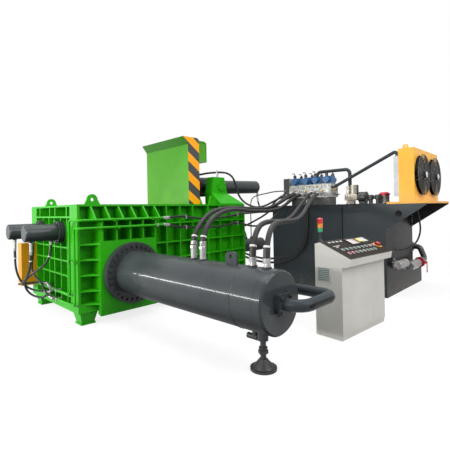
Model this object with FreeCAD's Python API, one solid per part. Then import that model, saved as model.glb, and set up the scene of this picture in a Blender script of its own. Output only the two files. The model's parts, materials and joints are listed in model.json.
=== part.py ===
import FreeCAD, Part
import math
import os

# A three-ram scrap baler: a ribbed press box with a swinging lid, a main cylinder lying in front of it,
# a side cylinder, two lid locks and a sliding discharge gate, with its oil tank, oil cooler and control
# desk standing beside it. Millimetres, Z up. The work below uses the press box's lower left front corner
# on the ground as (0, 0, 0): X runs along the long wall, Y from the front to the rear. The finished
# solids are moved so that the row's origin is the middle of the front left foot, on the ground.

X = FreeCAD.Vector(1, 0, 0)
Y = FreeCAD.Vector(0, 1, 0)
Z = FreeCAD.Vector(0, 0, 1)

# ---- clearances
SLIDE_GAP = 3.0          # between a ram or gate and what guides it
ROUND_GAP = 0.3          # radial, between a rod or piston and its bore
BEARING_GAP = 0.05       # radial, in a running bearing

# ---- press box
BOX_LENGTH = 3534.0
BOX_DEPTH = 2290.0       # over the two end frames
END_STEP = 153.0         # the end frames stand this far outside the long walls
BOX_TOP = 1725.0
DECK_PLATE = 30.0
RAIL_BOTTOM = 181.0
RAIL_TOP = 290.0
FLOOR_TOP = 370.0
SEAT = 40.0              # the floor plate rests this far on the edge beams
RIB = 25.0               # thickness of every rib and gusset
WALL_WEB = 100.0         # plates of the long walls behind their ribs
THICK_WEB = 143.0
MOUTH_WIDTH = 1460.0     # between the long walls, along Y
THICK_LENGTH = 1033.0    # the long wall is thicker this far from the right end

CENTRE_Y = BOX_DEPTH / 2
WALL_FRONT = END_STEP
WALL_REAR = BOX_DEPTH - END_STEP
MOUTH_FRONT = CENTRE_Y - MOUTH_WIDTH / 2
MOUTH_REAR = CENTRE_Y + MOUTH_WIDTH / 2
WALL_TOP = BOX_TOP - DECK_PLATE
THICK_FROM = BOX_LENGTH - THICK_LENGTH

# ---- bale chamber, in line with the main cylinder
PRESS_X = 753.0
CHAMBER_WIDTH = 720.0
CHAMBER_HEIGHT = 656.0
CHAMBER_LEFT = PRESS_X - CHAMBER_WIDTH / 2
CHAMBER_RIGHT = PRESS_X + CHAMBER_WIDTH / 2
CHAMBER_TOP = FLOOR_TOP + CHAMBER_HEIGHT
PRESS_Z = FLOOR_TOP + CHAMBER_HEIGHT / 2
LINER = 40.0

# ---- left wall
LEFT_RIB_DEPTH = 150.0
LEFT_WEB = 40.0
LEFT_BORDER = 35.0       # the two upright border plates of the left wall
BORDER_WIDTH = 259.0
LEFT_UPRIGHTS = (525.0, 772.0, 1041.0, 1270.0, 1547.0)
LEFT_LEVELS = (407.0, 688.0, 905.0, 1102.0)
TOP_ROW_LOW = 1530.0
TOP_ROW_HIGH = 1557.0
TOP_ROW_UPRIGHTS = (534.0, 1000.0, 1234.0, 1698.0)

# ---- long walls
WALL_UPRIGHTS = (1280.0, 1536.0, 1825.0, 2120.0, THICK_FROM, THICK_FROM + 324.0, THICK_FROM + 654.0)
WALL_LEVELS = (560.0, 812.0, 1090.0, 1418.0)

# ---- press head, the thick front frame that carries the main cylinder
HEAD_LEFT = 260.0
HEAD_RIGHT = 1205.0
HEAD_BOTTOM = 130.0
HEAD_TOP = 1190.0
HEAD_PLATE = 60.0
HEAD_SHELF_Z = 1485.0
HEAD_SHELF = 30.0
HEAD_SKID_PITCH = 235.0
HEAD_WEB = 130.0         # the upright web behind the recesses
HEAD_BACK = MOUTH_FRONT - HEAD_WEB
HEAD_RIB_PITCH = 223.5
HEAD_GUSSET_PITCH = 215.0
HEAD_GUSSET_FIRST = 187.0
HEAD_ENDS = (35.0, 1305.0)
CORNER_SHELVES = (290.0, 480.0, 700.0, 920.0, 1140.0)

# ---- gate
GATE_SETBACK = 25.0      # from the mouth's rear side to the gate
GATE_FRONT = MOUTH_REAR + GATE_SETBACK
GATE_THICKNESS = 200.0
GATE_LEFT = -240.0
GATE_BOTTOM = 376.0
GATE_TOP = 1100.0
GATE_LAP = 7.0           # the closed gate reaches this far past the chamber
GATE_ROD_RADIUS = 45.0
GATE_TUBE_RADIUS = 75.0
GATE_CYLINDER_Y = GATE_FRONT + 156.0
GATE_CYLINDER_Z = 745.0
GATE_CYLINDER_LENGTH = 1105.0
GATE_TUBE_WALL = 12.0
GATE_PISTON = 60.0
GATE_BAY_GAP = 8.0
EXIT_RIGHT = 1305.0
EXIT_LINTEL_TOP = 1500.0

# ---- bridge over the bale chamber
BRIDGE_RIGHT = 985.0     # clear of the lid's lip on its way down
BRIDGE_SOFFIT = 60.0
BRIDGE_END = 50.0
BRIDGE_DIAPHRAGMS = (600.0, 880.0, 1145.0, 1410.0, 1690.0)

# ---- lid
HINGE_INSET = 934.0      # from the right end
HINGE_X = BOX_LENGTH - HINGE_INSET
HINGE_Z = 1500.0
HINGE_RADIUS = 60.0
SHAFT_SEAT = 70.0        # how far the shaft reaches into each long wall
KNUCKLE_RADIUS = 110.0
KNUCKLE_LENGTH = 330.0
LID_SIDE_GAP = 15.0
LID_THICK = 280.0
LID_OFFSET = 70.0        # the raised lid stands this far to the left of its hinge
LID_RIGHT = HINGE_X - LID_OFFSET
LID_LEFT = LID_RIGHT - LID_THICK
LID_BOTTOM = 1440.0
LID_TIP_GAP = 85.0       # between the closed lid's lip and the bridge
LID_TOP = HINGE_Z + HINGE_X - BRIDGE_RIGHT - LID_TIP_GAP
LID_FACE = 40.0
LIP_HEIGHT = 146.0
LIP_ROOT_Z = LID_TOP - LIP_HEIGHT
LIP_REACH = 114.0
LID_BEAM_DROP = 45.0     # below the lid's top
LID_BEAM_HEIGHT = 415.0
LID_BEAM_HIGH = LID_TOP - LID_BEAM_DROP
LID_BEAM_LOW = LID_BEAM_HIGH - LID_BEAM_HEIGHT
LID_BEAM_DEPTH = 200.0
LID_BEAM_ROUND = 70.0
LUG_PIN_REACH = 140.0    # behind the hinge, lid raised
LUG_PIN_X = HINGE_X + LUG_PIN_REACH
LUG_PIN_Z = 2110.0
LUG_RADIUS = 110.0
LUG_PLATE = 45.0
LUG_SIDE_GAP = 7.0
LUG_FOOT = 240.0         # half the height of a lug plate on the lid
LUG_CAP = 22.0
KNUCKLE_RISE = 380.0     # the knuckle's gusset reaches this far up the lid
BEAM_RECESS = 14.0
BEAM_SILL = 170.0        # closed part below the beam's recess
BEAM_RIM = 30.0

# ---- lid locks
LOCK_SPREAD = 820.0      # between the two pins, along Y
LOCK_Z = 1322.0
LOCK_Y = (CENTRE_Y - LOCK_SPREAD / 2, CENTRE_Y + LOCK_SPREAD / 2)
LOCK_PIN_RADIUS = 55.0
LOCK_TIP = BRIDGE_RIGHT - 5.0
LOCK_FLANGE_RADIUS = 165.0
LOCK_FLANGE = 80.0
LOCK_TUBE_RADIUS = 120.0
LOCK_BORE_RADIUS = 92.0
LOCK_LENGTH = 518.0
LOCK_CAP = 58.0
LOCK_PISTON = 70.0
LOCK_GLAND = 60.0
LOCK_PORT = 14.0
LOCK_PORT_RADIUS = 28.0
LOCK_PORT_X = (-422.0, -150.0)
LOCK_SOCKET = 160.0
LOCK_SOCKET_GAP = 3.0

# ---- main cylinder
MAIN_RADIUS = 319.0
MAIN_WALL = 38.0
MAIN_LENGTH = 2741.0
MAIN_CAP = 90.0
MAIN_FLANGE_RADIUS = 452.0
MAIN_FLANGE = 100.0
MAIN_BOLTS = 30
MAIN_BOLT_CIRCLE = 402.0
MAIN_ROD_RADIUS = 200.0
MAIN_SPIGOT_RADIUS = 300.0
MAIN_PISTON = 160.0
MAIN_END_GAP = 30.0
MAIN_FACE_Y = 412.0
MAIN_PLATEN = 197.0

# ---- side ram and its cylinder
SIDE_SETBACK = 914.0     # from the right end to the drawn-in ram's face
SIDE_FACE_X = BOX_LENGTH - SIDE_SETBACK
SIDE_BODY = 760.0
SIDE_FACE = 80.0
SIDE_WALL = 40.0
SIDE_RADIUS = 165.0
SIDE_BORE_RADIUS = 140.0
SIDE_ROD_RADIUS = 100.0
SIDE_FLANGE_RADIUS = 240.0
SIDE_FLANGE = 60.0
SIDE_LENGTH = 1766.0
SIDE_END = BOX_LENGTH + SIDE_LENGTH
SIDE_PISTON = 100.0
SIDE_CAP = 70.0
SIDE_GLAND = 60.0
SIDE_PORT_INSET = 231.0
SIDE_PORT_X = BOX_LENGTH + SIDE_PORT_INSET
SIDE_PORT_REACH = 205.0  # from the cylinder's axis to the port's face
SIDE_PORT_Y = CENTRE_Y - SIDE_PORT_REACH

# ---- lid cylinder
TRUNNION_REACH = 550.0   # behind the hinge
TRUNNION_X = HINGE_X + TRUNNION_REACH
TRUNNION_Z = 2125.0
TRUNNION_RADIUS = 75.0
TRUNNION_BLOCK = 260.0
TRUNNION_BLOCK_HEIGHT = 420.0
LID_TUBE_RADIUS = 162.0
LID_TUBE_BORE = 135.0
LID_TUBE_BACK = 1977.0   # from the trunnion to the closed end
LID_TUBE_FRONT = 230.0   # from the trunnion to the gland's face
LID_ROD_RADIUS = 80.0
LID_ROD_REACH = 1600.0   # from the trunnion back to the piston, rod drawn in
LID_PISTON = 120.0
PORT_RADIUS = 32.0
HEAD_PORT_X = -180.0     # along the cylinder from the trunnion
HEAD_PORT_Z = 2385.0
HEAD_PORT_REACH = 90.0
END_PORT_REACH = 52.0
END_PORT_DROP = 112.0
ROD_EYE_RADIUS = 105.0
ROD_EYE = 2 * LID_ROD_RADIUS + 6

# ---- lifting eyes
LUG_X = (240.0, 320.0, HINGE_X + 20.0)
LUG_INSET = 27.0
LUG_THICK = 35.0
LUG_WIDTH = 230.0
LUG_HEIGHT = 148.0
LUG_HOLE = 27.0
SMALL_LUG_WIDTH = 180.0
SMALL_LUG_HEIGHT = 162.0
SMALL_LUG_HOLE = 20.0

# ---- trunnion brackets on the deck
BRACKET_FACE_Y = 453.0
BRACKET_WIDTH = 200.0
BRACKET_TOP_Z = 2295.0
BRACKET_KNEE_Z = 1960.0
BRACKET_TOP_X = (TRUNNION_X - 222.0, TRUNNION_X + 92.0)
BRACKET_KNEE_X = (TRUNNION_X - 281.0, TRUNNION_X + 178.0)
BRACKET_FOOT_X = (TRUNNION_X - 315.0, TRUNNION_X + 365.0)
BRACKET_FOOT_Y = 165.0
BRACKET_TOE = 15.0
DECK_GAP = 130.0         # from the hinge to the right deck
DECK_START = HINGE_X + DECK_GAP
END_PLATE = 70.0         # the right end wall
END_RIB_DEPTH = 90.0
RAM_ROOF_GAP = 14.0
END_RIBS = (-625.0, -315.0, 315.0, 625.0)
CAP_RADIUS = 118.0
CAP_PLATE = 25.0
CAP_BOLT = 36.0
CAP_BOLT_HEAD = 16.0

# ---- fittings of the main cylinder
MAIN_PORTS = (1276.0 - MAIN_LENGTH, 1111.0 - MAIN_LENGTH, 344.0 - MAIN_LENGTH, 163.0 - MAIN_LENGTH)
MAIN_PORT_RADIUS = 50.0
MAIN_PORT_TOP = 1030.0
MAIN_SEAM = MAIN_LENGTH - 393.0    # weld bead of the closed end, from the head
MAIN_EYE = (558.0 - MAIN_LENGTH, 722.0 - MAIN_LENGTH)
MAIN_EYE_TOP = 1147.0
SOCKET_WALL = 284.0      # bosses start this far from the tube's axis, inside its wall
BRANCH_Y = 321.0 - MAIN_LENGTH
BRANCH_RADIUS = 90.0
BRANCH_X = 1100.0
CAP_BOSS = 110.0
CAP_BOSS_DEPTH = 29.0
CAP_FLANGE = 200.0
CAP_FLANGE_DEPTH = 30.0
FLANGE_BOLT = 52.0
FLANGE_BOLT_HEAD = 30.0

# ---- jack under the main cylinder
JACK_Y = 228.0 - MAIN_LENGTH
JACK_BOSS = 55.0
JACK_BOSS_LOW = 290.0
JACK_STEM = 30.0
JACK_TOP = 345.0
JACK_TRAVEL = 60.0
JACK_BASE = 135.0
JACK_NUT = 104.0

# ---- oil tank with its cooler shelf
TANK_X = 4338.0
TANK_Y = -2435.0
TANK_WIDTH = 1443.0
TANK_LENGTH = 2454.0
TANK_RIGHT = TANK_X + TANK_WIDTH
TANK_REAR = TANK_Y + TANK_LENGTH
TANK_TOP = 1674.0
TANK_SKID = 100.0
TANK_COVER = 14.0
TANK_LAP = 12.0
TANK_BAR_Y = -1635.0
TANK_BAR = 25.0
SKID_END = 6340.0
SKID_CURB = 200.0        # height of the curb on the open part of the skid
SHELF_X = (TANK_X, TANK_RIGHT + 9)
SHELF_END = -3085.0
SHELF_LOW = 1655.0
SHELF_TOP = 1690.0
GUSSET = 15.0
GUSSET_LOW = 1200.0
GUSSET_TIP = 15.0
GUSSET_HOLE = 57.0
GUSSET_HOLE_Y = -2642.0
GUSSET_HOLE_Z = 1486.0
BRACKET_FLANGE = 12.0
BRACKET_FLANGE_WIDTH = 90.0
COOLER_FRONT = -2905.0
COOLER_BACK = -2660.0
COOLER_TOP = 2595.0
COOLER_SHEET = 12.0
COOLER_EYE_Y = -2780.0
CORE_BACK = -2565.0
CORE_LOW = 1790.0
CORE_HIGH = 2470.0
CORE_FLANGE = 30.0
CORE_PORT_X = 4450.0
CORE_PORT_Y = -2612.0
FAN_PITCH = 740.0
FAN_X = tuple((SHELF_X[0] + SHELF_X[1] + side * FAN_PITCH) / 2 for side in (-1, 1))
FAN_RADIUS = 315.0
FAN_HOLE = 334.0
FAN_Z = 2150.0
FAN_FRONT = -2895.0
FAN_DEPTH = 60.0
FAN_HUB = 75.0
FAN_BLADES = 7
FAN_SHAFT = 15.0
MOTOR_RADIUS = 62.0
MOTOR_FRONT = -3000.0
GUARD_RADIUS = 350.0
GUARD_Y = -2967.0
GUARD_WIRE = 8.0
GUARD_ARMS = 5

# ---- valve block and fittings on the tank's top
BLOCK_X = (4370.0, 4680.0)
BLOCK_Y = (-1386.0, -426.0)
BLOCK_Z = (1825.0, 2100.0)
BLOCK_BASE = 30.0        # the block's pedestal is narrower on each side
END_BLOCK_FRONT = -275.0
END_BLOCK_Z = (1908.0, 2261.0)
VALVE_Y = (-1316.0, -1066.0, -843.0, -580.0)
VALVE_WIDTH = 150.0
VALVE_X = (4400.0, 4560.0)
VALVE_HEIGHT = 150.0
COIL_RADIUS = 60.0
COIL_LENGTH = 95.0
PLUG_WIDTH = 44.0
PLUG_LENGTH = 50.0
PLUG_HEIGHT = 72.0
ARCH_X = 4620.0
ARCH_Y = (-1670.0, -955.0)
ARCH_TOP = 2365.0
ARCH_RADIUS = 34.0
FITTINGS_X = 4480.0      # one line of fittings along the cover's left edge
COLUMN_Y = (-1903.0, -1658.0)
COLUMN_WIDTH = 160.0
COLUMN_NECK = 71.0
COLUMN_HEAD = 113.0
CARTRIDGE_Y = -1810.0
CARTRIDGE_RADIUS = 85.0
CARTRIDGE_HEIGHT = 176.0
LEVEL_Y = -2054.0
LEVEL_RADIUS = 100.0
LEVEL_LENGTH = 136.0
LEVEL_FOOT = 48.0
BREATHER_Y = (-2125.0, -2255.0)
FILTER = (4700.0, -2290.0)
CHECK_BLOCK = 100.0
CHECK_BLOCK_TOP = 2034.0
COOLER_LINE_Z = 2035.0
COOLER_LINE_RADIUS = 30.0
COOLER_LINE_TOP = 2586.0
COOLER_LINE_BEND = 45.0

# ---- suction line and pumps
SUCTION_Y = -2580.0
SUCTION_Z = 490.0
SUCTION_RADIUS = 55.0
SUCTION_STUB_X = 5180.0
SUCTION_BODY_X = (5086.0, 5575.0)
SUCTION_BODY = 78.0
LEVER_X = 5700.0
LEVER_LENGTH = 170.0
LEVER_HUB = 26.0
LEVER_STEM = 12.0
DRAIN_X = (4430.0, 4850.0)
DRAIN_Z = 580.0
PUMP_X = 6050.0
PUMP_Z = 760.0
PUMP_Y = (-2250.0, -1130.0)
PUMP_RADIUS = 95.0
PUMP_LENGTH = 240.0
PUMP_MOTOR_RADIUS = 170.0
PUMP_MOTOR_LENGTH = 600.0

# ---- control desk
DESK_CORNER = (1949.0, -2777.0)
DESK_TURN = -4.4
DESK_WIDTH = 1100.0
DESK_PROFILE = ((0.0, 0.0), (0.0, 876.0), (-100.0, 905.0), (-116.0, 992.0), (300.0, 1172.0),
                (376.0, 1152.0), (376.0, 0.0))
PANEL_U = (12.0, 1088.0)
PANEL_W = (10.0, 440.0)
PANEL_PLATE = 8.0
SCREEN_U = (502.0, 748.0)
SCREEN_W = (264.0, 436.0)
SCREEN_FRAME = 10.0
SCREEN_BORDER = 22.0
BUTTON_RADIUS = 15.0
BUTTON_HEIGHT = 14.0
BUTTON_COUNTS = (9, 8)   # upper and lower row
BUTTON_FIRST = (154.0, 162.0)
BUTTON_LAST = (939.0, 822.0)
BUTTON_W = (200.0, 108.0)
STOP_U = 1032.0
STOP_W = 190.0
STOP_RADIUS = 31.0
STOP_COLLAR = 42.0
STOP_STEM = 12.0
STOP_TRAVEL = 6.0
LIGHT_U = 60.0
LIGHT_V = 330.0
LIGHT_POLE = 12.0
LIGHT_STACK = (1300.0, 1355.0, 1412.0, 1478.0)

# ---- pipes and hoses
BYPASS_RADIUS = 60.0
BYPASS_BEND = 150.0
BYPASS_Y = -234.0 - MAIN_LENGTH
BYPASS_X = 1370.0
LINE_RADIUS = 17.0
LINE_BEND = 60.0
LINE_CLAMP = 25.0
LINE_GAP = 0.5
PORT_FACE_X = 4300.0
ROD_HOSE = 31.0
PISTON_HOSE = 30.0
LID_HOSE = 21.0
WALL_HOSE = 20.0
SIDE_HOSE = 24.0
LOCK_HOSE = 16.0
CLAMP_GAP = 4.0
FERRULE = 39.0
ELBOW_RISE = 50.0
ELBOW_BEND = 45.0

# ---- feet
FOOT_X = (163.0, 1750.0, BOX_LENGTH - 164.0)
FOOT_INSET = 310.0
FOOT_Y = (FOOT_INSET, BOX_DEPTH - FOOT_INSET)
FOOT_TOP_SIZE = 260.0
FOOT_SIZE = 210.0
FOOT_PAD = 25.0
ORIGIN = FreeCAD.Vector(FOOT_X[0], FOOT_Y[0], 0)


# ---- small building functions

def vec(x, y, z):
    return FreeCAD.Vector(x, y, z)


def block(x, y, z):
    """A box between the two values given for each axis."""
    return Part.makeBox(x[1] - x[0], y[1] - y[0], z[1] - z[0], vec(x[0], y[0], z[0]))


def disc(radius, start, axis, length):
    return Part.makeCylinder(radius, length, start, axis)


def ring(outer, inner, start, axis, length):
    return disc(outer, start, axis, length).cut(disc(inner, start, axis, length))


def join(solids):
    """One solid out of touching ones, with the seams between flush faces taken out."""
    return solids[0].multiFuse(solids[1:]).removeSplitter()


def cut_all(shape, tools):
    for tool in tools:
        shape = shape.cut(tool)
    return shape


def prism(points, travel):
    """A straight prism: a closed outline of corner points, moved along travel."""
    corners = [vec(*p) for p in points]
    face = Part.Face(Part.makePolygon(corners + corners[:1]))
    return face.extrude(travel)


def outline(x, y, z):
    """The four corners of a level rectangle."""
    return [vec(x[0], y[0], z), vec(x[1], y[0], z), vec(x[1], y[1], z), vec(x[0], y[1], z)]


def tapered(low, high):
    """A solid with flat sides between two outlines of as many corners."""
    faces = [Part.Face(Part.makePolygon(low + low[:1])), Part.Face(Part.makePolygon(high + high[:1]))]
    for here in range(len(low)):
        after = (here + 1) % len(low)
        side = [low[here], low[after], high[after], high[here]]
        faces.append(Part.Face(Part.makePolygon(side + side[:1])))
    solid = Part.makeSolid(Part.makeShell(faces))
    if solid.Volume < 0:
        solid.reverse()
    return solid


def turned(profile, start, axis):
    """A turned piece: an outline of (radius, distance) corner points swept round the axis from start."""
    side = Z if abs(axis.z) < 0.9 else X
    corners = [start + side * radius + axis * distance for radius, distance in profile]
    return Part.Face(Part.makePolygon(corners + corners[:1])).revolve(start, axis, 360)


def rod_between(radius, start, end):
    """A straight round bar from one point to another."""
    return disc(radius, start, end - start, (end - start).Length)


def hex_bar(across, start, axis, length):
    """A hexagon prism, as a bolt head or nut: across is the size over its corners."""
    side = Z if abs(axis.z) < 0.9 else X
    other = axis.cross(side)
    corners = []
    for step in range(6):
        turn = math.radians(60 * step)
        corners.append(start + side * (across / 2 * math.cos(turn)) + other * (across / 2 * math.sin(turn)))
    return Part.Face(Part.makePolygon(corners + corners[:1])).extrude(axis * length)


def mirrored(shape):
    """The same piece on the rear side of the press box."""
    return shape.mirror(vec(0, CENTRE_Y, 0), Y)


def bent_bar(points, radius, bend=None, label=None):
    """A round bar along straight runs joined by tangent arcs. With no bend radius given, each arc is as
    large as its two runs allow, and the smallest radius is printed with the label."""
    corners = [vec(*p) for p in points]
    edges = []
    here = corners[0]
    smallest = None
    for before, corner, after in zip(corners, corners[1:], corners[2:]):
        back = before - corner
        ahead = after - corner
        shorter = min(back.Length, ahead.Length)
        back.normalize()
        ahead.normalize()
        turn = math.pi - back.getAngle(ahead)
        reach = bend * math.tan(turn / 2) if bend else 0.45 * shorter
        arc_radius = reach / math.tan(turn / 2)
        smallest = arc_radius if smallest is None else min(smallest, arc_radius)
        middle = back + ahead
        middle.normalize()
        centre = corner + middle * (arc_radius / math.cos(turn / 2))
        edges.append(Part.LineSegment(here, corner + back * reach).toShape())
        edges.append(Part.Arc(corner + back * reach, centre - middle * arc_radius,
                              corner + ahead * reach).toShape())
        here = corner + ahead * reach
    edges.append(Part.LineSegment(here, corners[-1]).toShape())
    path = Part.Wire(edges)
    section = Part.Wire(Part.Circle(corners[0], corners[1] - corners[0], radius).toShape())
    bar = path.makePipeShell([section], True, False)
    if label:
        ideal = math.pi * radius ** 2 * path.Length
        print(label, "length", round(path.Length), "smallest radius", round(smallest),
              "volume ratio", round(bar.Volume / ideal, 4))
    return bar


def save(name, solids):
    """Write one node: a solid, or a list of separate solids, moved to the row's origin."""
    shape = Part.makeCompound(solids) if isinstance(solids, list) else solids
    shape = shape.copy()
    shape.translate(vec(0, 0, 0) - ORIGIN)
    shape.exportStep(os.path.join("parts", name + ".step"))


# ---- press box

def legs():
    """Six tapered legs with square pads, welded under the frame."""
    feet = []
    for x in FOOT_X:
        for y in FOOT_Y:
            top = FOOT_TOP_SIZE / 2
            low = FOOT_SIZE / 2 - FOOT_PAD / 2
            leg = tapered(outline((x - low, x + low), (y - low, y + low), FOOT_PAD),
                          outline((x - top, x + top), (y - top, y + top), RAIL_BOTTOM))
            half = FOOT_SIZE / 2
            pad = block((x - half, x + half), (y - half, y + half), (0, FOOT_PAD))
            feet += [leg, pad]
    return feet


def base_frame():
    """Lower frame on its legs: deep edge beams and cross beams under a thick floor plate."""
    beam = MOUTH_FRONT - WALL_FRONT
    rail = (RAIL_BOTTOM, RAIL_TOP)
    length = (0, BOX_LENGTH)
    left = LEFT_RIB_DEPTH + LEFT_WEB
    solids = [block(length, (WALL_FRONT, MOUTH_FRONT + SEAT), rail),
              block(length, (MOUTH_REAR - SEAT, WALL_REAR), rail),
              block((0, left + SEAT), (WALL_FRONT, WALL_REAR), rail),
              block((BOX_LENGTH - beam, BOX_LENGTH), (WALL_FRONT, WALL_REAR), rail),
              block((FOOT_X[1] - beam / 2, FOOT_X[1] + beam / 2), (WALL_FRONT, WALL_REAR), rail),
              block((left, BOX_LENGTH), (MOUTH_FRONT, MOUTH_REAR), (RAIL_TOP, FLOOR_TOP))]
    return join(solids + legs())


def left_wall():
    """Ribbed end wall beside the bale chamber, with the gate's slot and the lock pins' bores."""
    web_x = (LEFT_RIB_DEPTH, LEFT_RIB_DEPTH + LEFT_WEB)
    height = (RAIL_TOP, WALL_TOP)
    inner = (MOUTH_FRONT, WALL_REAR - BORDER_WIDTH)
    solids = [block(web_x, (MOUTH_FRONT, WALL_REAR), height),
              block((0, LEFT_BORDER), (WALL_FRONT, MOUTH_FRONT), height),
              block((0, LEFT_BORDER), (inner[1], WALL_REAR), height),
              block((0, web_x[1]), (inner[1], inner[1] + RIB), height),
              block((0, web_x[1]), (WALL_REAR - RIB, WALL_REAR), height)]
    for z in LEFT_LEVELS:
        solids.append(block((0, web_x[0]), inner, (z - RIB, z)))
    solids.append(block((0, web_x[0]), inner, (TOP_ROW_LOW, TOP_ROW_HIGH)))
    for y in LEFT_UPRIGHTS:
        solids.append(block((0, web_x[0]), (y - RIB / 2, y + RIB / 2), (RAIL_TOP, TOP_ROW_LOW)))
    for y in TOP_ROW_UPRIGHTS:
        solids.append(block((0, web_x[0]), (y - RIB / 2, y + RIB / 2), (TOP_ROW_HIGH, WALL_TOP)))
    lining = (CHAMBER_LEFT - LINER, CHAMBER_LEFT)
    solids.append(block(lining, (MOUTH_FRONT, MOUTH_REAR), (FLOOR_TOP, WALL_TOP)))
    for y in BRIDGE_DIAPHRAGMS:
        solids.append(block((web_x[1], lining[0]), (y - RIB / 2, y + RIB / 2), (FLOOR_TOP, WALL_TOP)))
    for y in LOCK_Y:
        solids.append(disc(LOCK_FLANGE_RADIUS, vec(0, y, LOCK_Z), X, CHAMBER_LEFT))
    wall = join(solids)
    tools = [block((-1, lining[0]),
                   (GATE_FRONT - SLIDE_GAP, GATE_FRONT + GATE_THICKNESS + SLIDE_GAP),
                   (GATE_BOTTOM - SLIDE_GAP, GATE_TOP + SLIDE_GAP))]
    for y in LOCK_Y:
        tools.append(disc(LOCK_PIN_RADIUS + ROUND_GAP, vec(-1, y, LOCK_Z), X, CHAMBER_LEFT + 2))
    return cut_all(wall, tools)


def long_wall(start):
    """Front long wall from start to the right end: web, ribs in rows and columns, and the deck edge."""
    deep = MOUTH_FRONT - WALL_WEB
    height = (RAIL_TOP, WALL_TOP)
    solids = [block((start, THICK_FROM), (deep, MOUTH_FRONT), height),
              block((THICK_FROM, BOX_LENGTH), (MOUTH_FRONT - THICK_WEB, MOUTH_FRONT), height),
              block((BRIDGE_RIGHT, BOX_LENGTH), (WALL_FRONT, MOUTH_FRONT), (WALL_TOP, BOX_TOP))]
    for x in WALL_UPRIGHTS:
        if x - RIB >= start:
            solids.append(block((x - RIB, x), (WALL_FRONT, deep), height))
    solids.append(block((BOX_LENGTH - RIB, BOX_LENGTH), (WALL_FRONT, deep), height))
    for z in WALL_LEVELS:
        solids.append(block((max(start, WALL_UPRIGHTS[0]), BOX_LENGTH), (WALL_FRONT, deep), (z - RIB, z)))
    return join(solids)


def front_wall():
    """Front long wall, with a small eye on its deck edge beside the hinge."""
    return cut_all(join([long_wall(HEAD_ENDS[1]), small_lug()]), [hinge_bore()])


def rear_wall():
    """Mirror of the front wall, with a bay in its ribs for the gate's cylinder."""
    wall = mirrored(join([long_wall(EXIT_RIGHT), small_lug()]))
    bay = disc(GATE_TUBE_RADIUS + GATE_BAY_GAP, vec(EXIT_RIGHT, GATE_CYLINDER_Y, GATE_CYLINDER_Z), X,
               GATE_CYLINDER_LENGTH + GATE_BAY_GAP)
    return cut_all(wall, [bay, hinge_bore()])


def hinge_bore():
    """The space of the lid's shaft in the long walls."""
    return disc(HINGE_RADIUS + BEARING_GAP, vec(HINGE_X, MOUTH_FRONT - SHAFT_SEAT, HINGE_Z), Y,
                MOUTH_WIDTH + 2 * SHAFT_SEAT)


def right_end():
    """Right end: the thick wall that carries the side cylinder, the deck with its bulkhead under the
    lid cylinder's brackets, and the roof over the side ram's box."""
    across = (MOUTH_FRONT, MOUTH_REAR)
    inner_end = BOX_LENGTH - END_PLATE
    roof_z = CHAMBER_TOP + RAM_ROOF_GAP
    solids = [block((inner_end, BOX_LENGTH), across, (FLOOR_TOP, BOX_TOP)),
              block((DECK_START, inner_end), across, (WALL_TOP, BOX_TOP)),
              block((DECK_START, DECK_START + LINER), across, (roof_z, WALL_TOP)),
              block((SIDE_FACE_X, inner_end), across, (roof_z, roof_z + LINER))]
    depth = END_RIB_DEPTH
    for offset in END_RIBS:
        y = CENTRE_Y + offset - RIB / 2
        solids.append(prism(((BOX_LENGTH, y, FLOOR_TOP), (BOX_LENGTH + depth, y, FLOOR_TOP),
                             (BOX_LENGTH + depth, y, WALL_TOP - 2 * depth), (BOX_LENGTH, y, WALL_TOP)),
                            Y * RIB))
    return join(solids).cut(disc(SIDE_ROD_RADIUS + ROUND_GAP, vec(inner_end - 1, CENTRE_Y, PRESS_Z), X,
                                 END_PLATE + 2))


def corner_shelf(z, plate_edge, wall_edge):
    """A level gusset between the head plate's edge and the side wall, with a hollow curved front."""
    front = vec(plate_edge, 8, z)
    side = vec(wall_edge, WALL_FRONT, z)
    hollow = vec((plate_edge + wall_edge) / 2 + (plate_edge - wall_edge) * 0.12, 105, z)
    curve = Part.Arc(side, hollow, front).toShape()
    back_side = vec(wall_edge, HEAD_BACK, z)
    back_plate = vec(plate_edge, HEAD_BACK, z)
    sides = [Part.makeLine(front, back_plate), Part.makeLine(back_plate, back_side),
             Part.makeLine(back_side, side)]
    face = Part.Face(Part.Wire([curve] + sides))
    return face.extrude(Z * RIB)


def end_frame_gussets():
    """Slanted gussets between the head shelf and the deck's edge, seen from the front."""
    gussets = []
    for step in range(6):
        x = HEAD_GUSSET_FIRST + HEAD_GUSSET_PITCH * step
        gussets.append(prism(((x, 0, HEAD_SHELF_Z + HEAD_SHELF), (x, HEAD_BACK, HEAD_SHELF_Z + HEAD_SHELF),
                              (x, HEAD_BACK, WALL_TOP), (x, WALL_FRONT, WALL_TOP)), X * RIB))
    return gussets


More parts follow.
